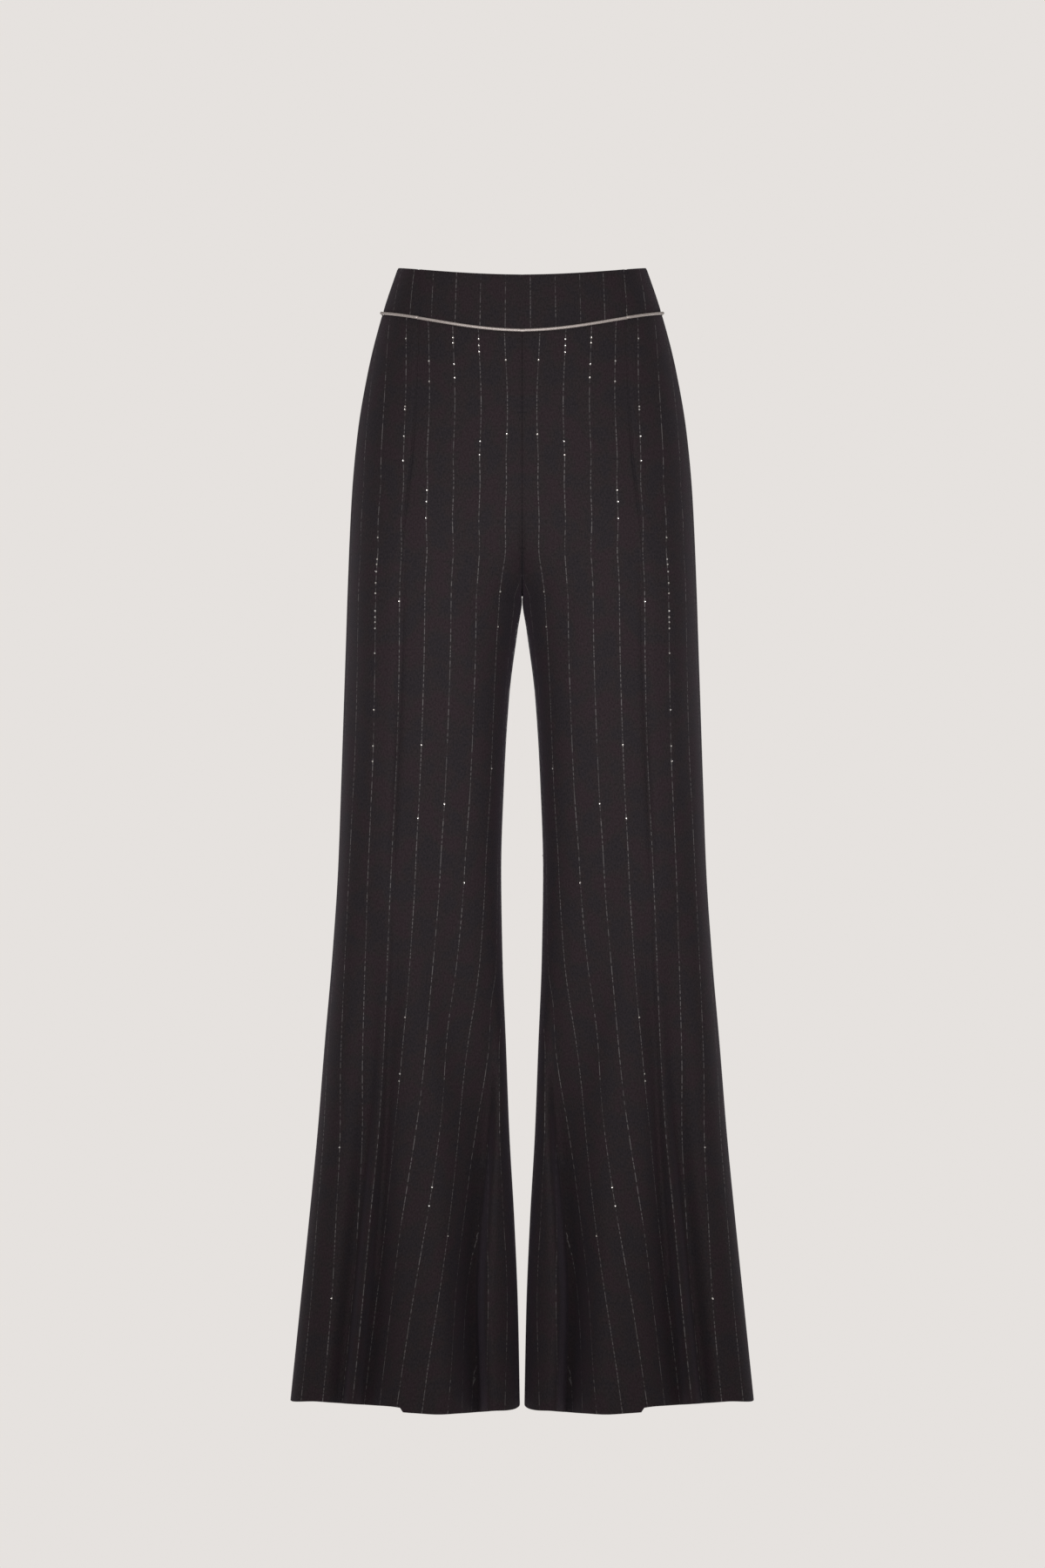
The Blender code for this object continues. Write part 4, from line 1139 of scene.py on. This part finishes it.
def sequin_points(centre, normal, lean):
    """A shallow cup of two rings and a middle, lying on the cloth."""
    normal = (normal + lean) / np.linalg.norm(normal + lean)
    side = np.cross(normal, (0.0, 0.0, 1.0))
    side /= np.linalg.norm(side)
    up = np.cross(side, normal)
    angle = 2 * math.pi * np.arange(SEQUIN_SIDES) / SEQUIN_SIDES
    ring = np.cos(angle)[:, None] * side + np.sin(angle)[:, None] * up
    base = centre + SEQUIN_OVER_CLOTH * normal
    rim = base + SEQUIN_RADIUS * ring + SEQUIN_CUP * normal
    top = [rim, base + SEQUIN_RADIUS * SEQUIN_INNER_RING * ring]
    under = [rings - SEQUIN_THICKNESS * normal for rings in top]
    hub = base - SEQUIN_HUB_SINK * normal
    return np.concatenate([*top, [hub], *under, [hub - SEQUIN_THICKNESS * normal]])


def sequin_faces(start):
    """The faces of one sequin, whose points begin at start."""
    n = SEQUIN_SIDES
    rim, ring, hub = start, start + n, start + 2 * n
    low_rim, low_ring, low_hub = hub + 1, hub + 1 + n, hub + 1 + 2 * n
    faces = []
    for k in range(n):
        j = (k + 1) % n
        faces.append((rim + k, rim + j, ring + j, ring + k))
        faces.append((ring + k, ring + j, hub))
        faces.append((low_rim + j, low_rim + k, low_ring + k, low_ring + j))
        faces.append((low_ring + j, low_ring + k, low_hub))
        faces.append((rim + j, rim + k, low_rim + k, low_rim + j))
    return faces


def sew_sequins(name, runs, face, seed):
    """One object with a sequin at each height of each run (side, stripe, heights)."""
    chance = np.random.default_rng(seed)
    points, faces = [], []
    for side, stripe, heights in runs:
        line, ways = stripe_line(stripe, face)
        for z in heights:
            if not line[0, 2] < z < line[-1, 2]:
                continue
            centre = np.array([np.interp(z, line[:, 2], line[:, k]) for k in range(3)])
            normal = np.array([np.interp(z, line[:, 2], ways[:, k]) for k in range(3)])
            lean = chance.normal(0.0, SEQUIN_LEAN, 3)
            faces += sequin_faces(len(points) * (4 * SEQUIN_SIDES + 2))
            turned = np.array([side, 1.0, 1.0])
            points.append(sequin_points(centre * turned, normal * turned, lean))
    made = new_mesh(name, np.concatenate(points), faces, sharp_angle=0.9)
    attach(made, "garment")
    print(name, "has", len(points), "sequins")
    return made


front_runs = [(side, stripe, heights) for side in (1, -1) for stripe, heights in FRONT_SEQUINS]
sequins = [sew_sequins("front_sequins", front_runs, FRONT, 7)]

# %% [markdown]
# The back can't be seen in the picture that this was made from, so its sequins follow the same
# habit: a few short runs below the seat, and single ones further down, drawn with a fixed seed.

# %% Back sequins
BACK_RUNS = 7
BACK_RUN_HEIGHTS = (-0.42, -0.06)
BACK_RUN_GAPS = (0.006, 0.013)
BACK_SINGLES = 16
BACK_SINGLE_HEIGHTS = (-1.04, -0.40)


def back_sequins(side, chance):
    """Short runs near the seat and single sequins below, on one side of the back."""
    runs = []
    for _ in range(BACK_RUNS):
        top = chance.uniform(*BACK_RUN_HEIGHTS)
        gaps = chance.uniform(*BACK_RUN_GAPS, chance.integers(2, 5))
        runs.append((side, int(chance.integers(0, 6)), top - np.cumsum(gaps)))
    for _ in range(BACK_SINGLES):
        runs.append((side, int(chance.integers(-2, 7)), [chance.uniform(*BACK_SINGLE_HEIGHTS)]))
    return runs


chance = np.random.default_rng(31)
back_runs = back_sequins(1, chance) + back_sequins(-1, chance)
sequins.append(sew_sequins("back_sequins", back_runs, BACK, 11))

# %% [markdown]
# ## The hidden zip
#
# A concealed zip shows only its slider and pull tab at the top of the centre back. Those are
# metal solids of the frame, and they stay. Behind them, a woven tape with a nylon coil closes
# the seam, and it can be seen from above, inside the waist.

# %% Zip tape and coil
ZIP_TAPE_TOP = 0.0205
ZIP_TAPE_THICKNESS = 0.0006
ZIP_BEHIND_CLOTH = 0.0014
COIL_PITCH = 0.0012
COIL_HALF_WIDTH = 0.0021
COIL_WIRE = 0.0003
COIL_LIFT = 0.0004
COIL_HALF_HEIGHT = 0.0005
COIL_ENDS_BELOW = 0.004
COIL_POINTS = 10
WIRE_POINTS = 5
TAPE_COLUMNS = (0.5, 1.4, 2.6, 4.0, 6.0, 9.0, 12.0)
TAPE_RIDGE = 0.0002
TAPE_RIDGE_WIDTH = 0.0015


def centre_back(z):
    """Points on the centre back line and the directions into the garment there."""
    points = surface(np.ones_like(z), z, BACK)
    points[:, 0] = 0.0
    ahead = tangents_of(points)
    inward_way = np.stack([0 * z, -ahead[:, 2], ahead[:, 1]], axis=-1)
    return points, inward_way


def zip_tape():
    """The tape, slightly folded back where the coil is sewn on."""
    z = np.linspace(ZIP_END, ZIP_TAPE_TOP, 90)
    middle, inward_way = centre_back(z)
    half = np.array(TAPE_COLUMNS)
    offsets = np.concatenate([-half[::-1], half]) * 0.001
    ridge = TAPE_RIDGE * bell(offsets, TAPE_RIDGE_WIDTH)
    depth = CLOTH + SEAM_SINK + ZIP_BEHIND_CLOTH + ridge
    side = np.array([1.0, 0.0, 0.0])
    outer = middle[:, None] + offsets[None, :, None] * side
    outer = outer + depth[None, :, None] * inward_way[:, None]
    inner = outer + ZIP_TAPE_THICKNESS * inward_way[:, None]
    return cloth_wall("zip_tape_weave", outer, inner, grid_cloth(offsets, z))


def zip_coil():
    """A row of small wire loops across the tape."""
    count = int((ZIP_TAPE_TOP - COIL_ENDS_BELOW - ZIP_END) / COIL_PITCH)
    z = ZIP_END + COIL_PITCH * (np.arange(count) + 1.0)
    middle, inward_way = centre_back(z)
    turn = np.linspace(0, 2 * math.pi, COIL_POINTS, endpoint=False)
    wire = np.linspace(0, 2 * math.pi, WIRE_POINTS, endpoint=False)
    points, faces = [], []
    tape_back = CLOTH + SEAM_SINK + ZIP_BEHIND_CLOTH + TAPE_RIDGE + ZIP_TAPE_THICKNESS
    depth = tape_back + COIL_WIRE + COIL_LIFT
    for k in range(count):
        start = k * COIL_POINTS * WIRE_POINTS
        for t in turn:
            out = np.array([math.cos(t) * COIL_HALF_WIDTH, 0.0, 0.0])
            rise = COIL_HALF_HEIGHT * math.sin(t)
            centre = middle[k] + out + (depth + rise) * inward_way[k]
            radial = np.array([math.cos(t), 0.0, 0.0]) + math.sin(t) * inward_way[k]
            for w in wire:
                lift = math.cos(w) * radial + math.sin(w) * np.array([0.0, 0.0, 1.0])
                points.append(centre + COIL_WIRE * lift)
        for a in range(COIL_POINTS):
            here = start + a * WIRE_POINTS
            there = start + (a + 1) % COIL_POINTS * WIRE_POINTS
            for b in range(WIRE_POINTS):
                d = (b + 1) % WIRE_POINTS
                faces.append((here + b, there + b, there + d, here + d))
    made = new_mesh("zip_coil", np.array(points), faces, sharp_angle=2.0)
    face_out(made)
    return made


tape = zip_tape()
coil = zip_coil()
for piece in (tape, coil):
    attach(piece, "garment")
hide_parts("zip_tape")
print("zip coil has", len(coil.data.polygons), "faces")

# %% [markdown]
# ## A weave, as a node group
#
# Suiting is a fine twill: slanting ribs about half a millimetre apart, spun from mixed fibres, so
# that single threads are browner, greyer or more violet than the rest. One node group makes the
# height of the ribs and the shade of the threads from the cloth coordinates, and each cloth in
# the garment uses it with its own sizes.

# %% Weave group
def add_node(tree, kind, **settings):
    """A shader node with some of its settings."""
    node = tree.nodes.new(kind)
    for name, value in settings.items():
        setattr(node, name, value)
    return node


def group_with(name, inputs, outputs):
    """An empty node group with named sockets: (name, type, default) and (name, type)."""
    group = bpy.data.node_groups.new(name, "ShaderNodeTree")
    for label, kind, default in inputs:
        socket = group.interface.new_socket(label, in_out="INPUT", socket_type=kind)
        if default is not None:
            socket.default_value = default
    for label, kind in outputs:
        group.interface.new_socket(label, in_out="OUTPUT", socket_type=kind)
    return group, group.nodes.new("NodeGroupInput"), group.nodes.new("NodeGroupOutput")


def math_node(tree, operation, a, b=None, c=None, clamp=False):
    """A Math node; a, b and c are sockets or numbers. Returns its result."""
    node = add_node(tree, "ShaderNodeMath", operation=operation, use_clamp=clamp)
    for socket, value in zip(node.inputs, (a, b, c)):
        if value is None:
            continue
        if isinstance(value, (int, float)):
            socket.default_value = value
        else:
            tree.links.new(value, socket)
    return node.outputs[0]


def noise_node(tree, place, scale, detail=2.0, dimensions="2D"):
    """A noise read at a socket's places; returns its value."""
    noise = add_node(tree, "ShaderNodeTexNoise", noise_dimensions=dimensions)
    noise.inputs["Scale"].default_value = scale
    noise.inputs["Detail"].default_value = detail
    tree.links.new(place, noise.inputs["Vector"])
    return noise.outputs[0]


def stretched(tree, place, scale):
    """A socket's places, scaled by three numbers, so that what is read there is drawn out."""
    mapping = add_node(tree, "ShaderNodeMapping")
    mapping.inputs["Scale"].default_value = scale
    tree.links.new(place, mapping.inputs[0])
    return mapping.outputs[0]


THREAD_NOISE = 900.0
THREAD_STRETCH = (1.0, 0.35, 1.0)
SPECKLE_NOISE = 520.0
PATCH_NOISE = 40.0


def twill_group():
    """Height and shade of a twill from cloth coordinates in metres."""
    group, given, out = group_with(
        "twill_weave",
        [
            ("Cloth", "NodeSocketVector", None),
            ("Threads per metre", "NodeSocketFloat", 1100.0),
            ("Slant", "NodeSocketFloat", 1.0),
        ],
        [(label, "NodeSocketFloat") for label in ("Height", "Shade", "Speckle", "Mottle")],
    )
    links = group.links
    apart = add_node(group, "ShaderNodeSeparateXYZ")
    links.new(given.outputs["Cloth"], apart.inputs[0])
    across, up = apart.outputs[0], apart.outputs[1]
    slanted = math_node(group, "MULTIPLY_ADD", up, given.outputs["Slant"], across)
    ribs = math_node(group, "MULTIPLY", slanted, given.outputs["Threads per metre"])
    wave = math_node(group, "SINE", math_node(group, "MULTIPLY", ribs, 2 * math.pi))
    rib = math_node(group, "MULTIPLY_ADD", wave, 0.5, 0.5)
    cloth = given.outputs["Cloth"]
    threads = noise_node(group, stretched(group, cloth, THREAD_STRETCH), THREAD_NOISE)
    links.new(math_node(group, "MULTIPLY_ADD", threads, 0.6, rib), out.inputs["Height"])
    links.new(threads, out.inputs["Shade"])
    links.new(noise_node(group, cloth, SPECKLE_NOISE, 3.0), out.inputs["Speckle"])
    links.new(noise_node(group, cloth, PATCH_NOISE, 4.0), out.inputs["Mottle"])
    return group


TWILL = twill_group()
print("group", TWILL.name, [socket.name for socket in TWILL.interface.items_tree])

# %% [markdown]
# ## Pinstripes, as a node group
#
# The stripe is a pair of pale threads that come up and go under again, so it is a broken line:
# dashes of a few millimetres, and whole stretches that are fainter than others. The group measures
# how far a point is from the nearest stripe, in cloth coordinates, and breaks the line with two
# noises that are stretched along it, a short one for the dashes and a long one for the stretches.


# %% Pinstripe group
STRIPE_EDGE = 1.35
ROWS_APART = 17.3
# What breaks the line: its length's socket, the noise from which and to which the thread comes
# up, and how much of it is left where it has gone under
BREAKS = (
    ("Dash", 0.42, 0.56, 0.10),
    ("Stretch", 0.30, 0.62, 0.40),
)


def pinstripe_group():
    """A mask of dashed stripes from cloth coordinates in metres."""
    group, given, out = group_with(
        "pinstripes",
        [
            ("Cloth", "NodeSocketVector", None),
            ("Pitch", "NodeSocketFloat", STRIPE_PITCH),
            ("Half width", "NodeSocketFloat", 0.0004),
            ("Dash", "NodeSocketFloat", 0.0030),
            ("Stretch", "NodeSocketFloat", 0.0350),
        ],
        [("Mask", "NodeSocketFloat")],
    )
    links = group.links
    apart = add_node(group, "ShaderNodeSeparateXYZ")
    links.new(given.outputs["Cloth"], apart.inputs[0])
    across, up = apart.outputs[0], apart.outputs[1]
    number = math_node(group, "DIVIDE", across, given.outputs["Pitch"])
    nearest = math_node(group, "ROUND", number)
    off = math_node(group, "ABSOLUTE", math_node(group, "SUBTRACT", number, nearest))
    distance = math_node(group, "MULTIPLY", off, given.outputs["Pitch"])
    edge = math_node(group, "DIVIDE", distance, given.outputs["Half width"])
    line = math_node(group, "SUBTRACT", STRIPE_EDGE, edge, clamp=True)
    row = math_node(group, "MULTIPLY", nearest, ROWS_APART)
    for length, low, high, least in BREAKS:
        place = add_node(group, "ShaderNodeCombineXYZ")
        links.new(row, place.inputs[0])
        links.new(math_node(group, "DIVIDE", up, given.outputs[length]), place.inputs[1])
        broken = add_node(group, "ShaderNodeMapRange")
        broken.inputs["From Min"].default_value = low
        broken.inputs["From Max"].default_value = high
        broken.inputs["To Min"].default_value = least
        links.new(noise_node(group, place.outputs[0], 1.0, 1.0), broken.inputs["Value"])
        line = math_node(group, "MULTIPLY", line, broken.outputs[0])
    links.new(line, out.inputs["Mask"])
    return group


PINSTRIPES = pinstripe_group()
print("group", PINSTRIPES.name)

# %% [markdown]
# ## Suiting
#
# The cloth is a very dark brown-black with a violet cast, matt, with a faint bloom where it turns
# away from the eye: that is the nap, and sheen makes it. The stripe's threads are a little
# smoother than the ground.


# %% Suiting material
def new_material(name):
    """A material with its tree and its Principled shader."""
    material = bpy.data.materials.new(name)
    material.use_nodes = True
    return material, material.node_tree, material.node_tree.nodes["Principled BSDF"]


def cloth_place(tree):
    """The cloth coordinates of the piece that wears the material."""
    return add_node(tree, "ShaderNodeUVMap", uv_map="UVMap").outputs[0]


def solid_place(tree):
    """The place in space of a point, for pieces that aren't woven."""
    return add_node(tree, "ShaderNodeTexCoord").outputs["Object"]


def raise_threads(tree, shader, height, strength, distance):
    """A bump from a height, for relief that is finer than the mesh."""
    bump = add_node(tree, "ShaderNodeBump")
    bump.inputs["Strength"].default_value = strength
    bump.inputs["Distance"].default_value = distance
    tree.links.new(height, bump.inputs["Height"])
    tree.links.new(bump.outputs[0], shader.inputs["Normal"])


def place_group(tree, group, cloth, **values):
    """A node group in a material, fed with cloth coordinates and its own values."""
    node = add_node(tree, "ShaderNodeGroup", node_tree=group)
    tree.links.new(cloth, node.inputs["Cloth"])
    for label, value in values.items():
        node.inputs[label.replace("_", " ")].default_value = value
    return node


def blend_colours(tree, share, first, second):
    """A Mix node between two colours or sockets."""
    mix = add_node(tree, "ShaderNodeMix", data_type="RGBA")
    for socket, value in ((mix.inputs[0], share), (mix.inputs[6], first), (mix.inputs[7], second)):
        if isinstance(value, (tuple, float)):
            socket.default_value = value
        else:
            tree.links.new(value, socket)
    return mix.outputs[2]


def colour_ramp(tree, value, stops):
    """A ColorRamp node with the given (place, colour) stops."""
    ramp = add_node(tree, "ShaderNodeValToRGB")
    steps = ramp.color_ramp.elements
    while len(steps) < len(stops):
        steps.new(0.5)
    for step, (place, colour) in zip(steps, stops):
        step.position = place
        step.color = colour
    tree.links.new(value, ramp.inputs[0])
    return ramp.outputs[0]


GROUND_DARK = (0.0105, 0.0086, 0.0098, 1.0)
GROUND_LIGHT = (0.0330, 0.0255, 0.0285, 1.0)
PATCHES = (
    (0.38, (0.0160, 0.0148, 0.0192, 1.0)),
    (0.50, (0.0215, 0.0172, 0.0180, 1.0)),
    (0.62, (0.0275, 0.0150, 0.0205, 1.0)),
)
PATCH_SHARE = 0.38
HEATHER = 1.3
STRIPE_COLOUR = (0.1380, 0.1290, 0.1310, 1.0)


def suiting_material():
    """Dark pinstripe twill."""
    material, tree, shader = new_material("pinstripe_suiting")
    cloth = cloth_place(tree)
    weave = place_group(tree, TWILL, cloth)
    stripes = place_group(tree, PINSTRIPES, cloth)
    heather = math_node(tree, "ADD", weave.outputs["Shade"], weave.outputs["Speckle"])
    heather = math_node(tree, "MULTIPLY_ADD", heather, HEATHER, 0.5 - HEATHER, clamp=True)
    ground = blend_colours(tree, heather, GROUND_DARK, GROUND_LIGHT)
    patches = colour_ramp(tree, weave.outputs["Mottle"], PATCHES)
    ground = blend_colours(tree, PATCH_SHARE, ground, patches)
    colour = blend_colours(tree, stripes.outputs["Mask"], ground, STRIPE_COLOUR)
    tree.links.new(colour, shader.inputs["Base Color"])
    rough = math_node(tree, "MULTIPLY_ADD", stripes.outputs["Mask"], -0.20, 0.82)
    tree.links.new(rough, shader.inputs["Roughness"])
    shader.inputs["Specular IOR Level"].default_value = 0.12
    shader.inputs["Sheen Weight"].default_value = 0.07
    shader.inputs["Sheen Roughness"].default_value = 0.45
    shader.inputs["Sheen Tint"].default_value = (0.62, 0.50, 0.66, 1.0)
    height = math_node(tree, "MULTIPLY_ADD", stripes.outputs["Mask"], 0.8, weave.outputs["Height"])
    raise_threads(tree, shader, height, strength=0.35, distance=0.0002)
    return material


suiting = suiting_material()
for piece in [*panels.values(), *bands, *strips]:
    piece.data.materials.append(suiting)
print(suiting.name, "on", len(panels) + len(bands) + len(strips), "pieces")

# %% [markdown]
# ## Shiny cord, sequins and zip
#
# The cord is wound with metallic thread in silver and rose beige. The sequins are pale and
# mirror-like. The zip's tape uses the weave group again, finer and plainer, and its slider and
# pull tab are dark metal with small scratches.


# %% Other materials
def cord_material():
    """Metallic winding thread, mottled between silver grey and warm beige."""
    material, tree, shader = new_material("wound_lurex_cord")
    cloth = cloth_place(tree)
    speckle = noise_node(tree, cloth, 1300.0)
    share = math_node(tree, "MULTIPLY_ADD", speckle, 2.6, -0.8, clamp=True)
    colour = blend_colours(tree, share, (0.26, 0.215, 0.20, 1.0), (0.66, 0.60, 0.57, 1.0))
    tree.links.new(colour, shader.inputs["Base Color"])
    rough = math_node(tree, "MULTIPLY_ADD", speckle, -0.25, 0.55)
    tree.links.new(rough, shader.inputs["Roughness"])
    shader.inputs["Metallic"].default_value = 0.35
    raise_threads(tree, shader, speckle, strength=0.4, distance=0.0001)
    return material


def sequin_material():
    """Pale mirror-like plastic, a little warmer on some sequins than on others."""
    material, tree, shader = new_material("pale_sequin")
    place = solid_place(tree)
    tone = noise_node(tree, place, 60.0, dimensions="3D")
    colour = blend_colours(tree, tone, (0.74, 0.67, 0.60, 1.0), (0.66, 0.67, 0.70, 1.0))
    tree.links.new(colour, shader.inputs["Base Color"])
    shader.inputs["Metallic"].default_value = 0.8
    shader.inputs["Roughness"].default_value = 0.22
    return material


def tape_material():
    """Plain woven tape."""
    material, tree, shader = new_material("zip_tape_weave")
    cloth = cloth_place(tree)
    weave = place_group(tree, TWILL, cloth, Threads_per_metre=1800.0, Slant=0.0)
    dark, light = (0.0070, 0.0060, 0.0070, 1.0), (0.0190, 0.0170, 0.0180, 1.0)
    colour = blend_colours(tree, weave.outputs["Shade"], dark, light)
    tree.links.new(colour, shader.inputs["Base Color"])
    shader.inputs["Roughness"].default_value = 0.75
    raise_threads(tree, shader, weave.outputs["Height"], strength=0.3, distance=0.0001)
    return material


def coil_material():
    """Black nylon wire."""
    material, tree, shader = new_material("nylon_coil")
    place = solid_place(tree)
    dust = noise_node(tree, place, 800.0, dimensions="3D")
    dark, light = (0.008, 0.008, 0.009, 1.0), (0.022, 0.021, 0.022, 1.0)
    tree.links.new(blend_colours(tree, dust, dark, light), shader.inputs["Base Color"])
    shader.inputs["Roughness"].default_value = 0.38
    return material


def metal_material():
    """Dark nickel with fine scratches."""
    material, tree, shader = new_material("dark_nickel")
    place = solid_place(tree)
    drawn_out = stretched(tree, place, (3000.0, 3000.0, 250.0))
    scratches = noise_node(tree, drawn_out, 1.0, 3.0, dimensions="3D")
    dark, light = (0.22, 0.21, 0.20, 1.0), (0.38, 0.37, 0.36, 1.0)
    tree.links.new(blend_colours(tree, scratches, dark, light), shader.inputs["Base Color"])
    rough = math_node(tree, "MULTIPLY_ADD", scratches, 0.25, 0.20)
    tree.links.new(rough, shader.inputs["Roughness"])
    shader.inputs["Metallic"].default_value = 1.0
    return material


def dress(pieces, material):
    """Gives pieces one material."""
    for piece in pieces:
        piece.data.materials.clear()
        piece.data.materials.append(material)


dress(pipings.values(), cord_material())
dress(sequins, sequin_material())
dress([tape], tape_material())
dress([coil], coil_material())
metal = metal_material()
for node in ("zip_slider", "zip_pull"):
    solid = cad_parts[node]
    for held in solid.material_slots:
        held.material = metal
print("materials", [material.name for material in bpy.data.materials])

# %% [markdown]
# ## Camera, light and floor
#
# The picture is taken square from the front, from several metres away, at the height of the
# garment's middle. A pale world lights the cloth evenly, as in a studio with white walls. A soft
# lamp in front gives the folds their shape, with another behind for the back, and two strips
# beside the garment and a little behind it draw the pale rim along its sides. The floor is a
# pale disc well below the hem, because the garment hangs free.

# %% Camera
CAMERA_DISTANCE = 4.5
CAMERA_ACROSS = 0.00035
CAMERA_HEIGHT = -0.487
SENSOR = 36.0
VIEW_HEIGHT = 1.548

camera_data = bpy.data.cameras.new("camera")
camera_data.sensor_width = SENSOR
camera_data.lens = SENSOR * CAMERA_DISTANCE / VIEW_HEIGHT
camera = bpy.data.objects.new("camera", camera_data)
camera.location = (CAMERA_ACROSS, -CAMERA_DISTANCE, CAMERA_HEIGHT)
camera.rotation_euler = (math.pi / 2, 0.0, 0.0)
bpy.context.scene.collection.objects.link(camera)
bpy.context.scene.camera = camera
print("lens", round(camera_data.lens, 1), "mm")

# %% Light
PALE = (0.791, 0.760, 0.737, 1.0)
LAMPS = {
    "front_softbox": ((0.0, -1.3, -0.34), (0.5, 0.4), 4.7, 120.0),
    "back_softbox": ((0.0, 1.3, -0.34), (0.5, 0.4), 4.7, 120.0),
    "left_strip": ((-1.8, 1.4, -0.80), (0.4, 0.8), 6.0, 180.0),
    "right_strip": ((1.8, 1.4, -0.80), (0.4, 0.8), 6.0, 180.0),
}
AIM = Vector((0.0, 0.0, -0.42))
WORLD_LIGHT = 0.48

world = bpy.data.worlds.new("studio")
world.use_nodes = True
bpy.context.scene.world = world
tree = world.node_tree
shown = tree.nodes["Background"]
shown.inputs[0].default_value = PALE
lighting = add_node(tree, "ShaderNodeBackground")
lighting.inputs[0].default_value = PALE
lighting.inputs[1].default_value = WORLD_LIGHT
by_ray = add_node(tree, "ShaderNodeMixShader")
tree.links.new(add_node(tree, "ShaderNodeLightPath").outputs["Is Camera Ray"], by_ray.inputs[0])
tree.links.new(lighting.outputs[0], by_ray.inputs[1])
tree.links.new(shown.outputs[0], by_ray.inputs[2])
tree.links.new(by_ray.outputs[0], tree.nodes["World Output"].inputs[0])
for name, (place, (wide, high), power, spread) in LAMPS.items():
    lamp_data = bpy.data.lights.new(name, "AREA")
    lamp_data.shape = "RECTANGLE"
    lamp_data.size = wide
    lamp_data.size_y = high
    lamp_data.energy = power
    lamp_data.spread = math.radians(spread)
    lamp = bpy.data.objects.new(name, lamp_data)
    lamp.location = place
    lamp.rotation_euler = (AIM - Vector(place)).to_track_quat("-Z", "Y").to_euler()
    lamp.visible_camera = False
    bpy.context.scene.collection.objects.link(lamp)
bpy.context.scene.view_settings.view_transform = "Standard"
print(len(LAMPS), "lamps")

# %% Floor
FLOOR_HEIGHT = -1.6
FLOOR_RADIUS = 1.9
FLOOR_SIDES = 96

angle = 2 * math.pi * np.arange(FLOOR_SIDES) / FLOOR_SIDES
rim = np.stack([np.cos(angle), np.sin(angle), 0 * angle], axis=-1) * FLOOR_RADIUS
rim[:, 2] = FLOOR_HEIGHT
floor = new_mesh("floor", rim, [tuple(range(FLOOR_SIDES))])
floor_material, tree, shader = new_material("pale_floor")
grain = add_node(tree, "ShaderNodeTexNoise")
grain.inputs["Scale"].default_value = 6.0
colour = blend_colours(tree, grain.outputs[0], (0.80, 0.77, 0.745, 1.0), (0.83, 0.80, 0.775, 1.0))
tree.links.new(colour, shader.inputs["Base Color"])
shader.inputs["Roughness"].default_value = 0.9
floor.data.materials.append(floor_material)
floor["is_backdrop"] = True
print("floor at", FLOOR_HEIGHT)

# %% [markdown]
# ## The sizes
#
# The dressed garment has to fill the same space as its solids. Both boxes are printed, so that they
# can be compared.

# %% Sizes and the end
dressed_low, dressed_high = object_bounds()
sizes = {
    "frame": [list(frame_low), list(frame_high)],
    "dressed": [list(dressed_low), list(dressed_high)],
}
for name, (low, high) in sizes.items():
    print(name, [round(v, 4) for v in low], [round(v, 4) for v in high])
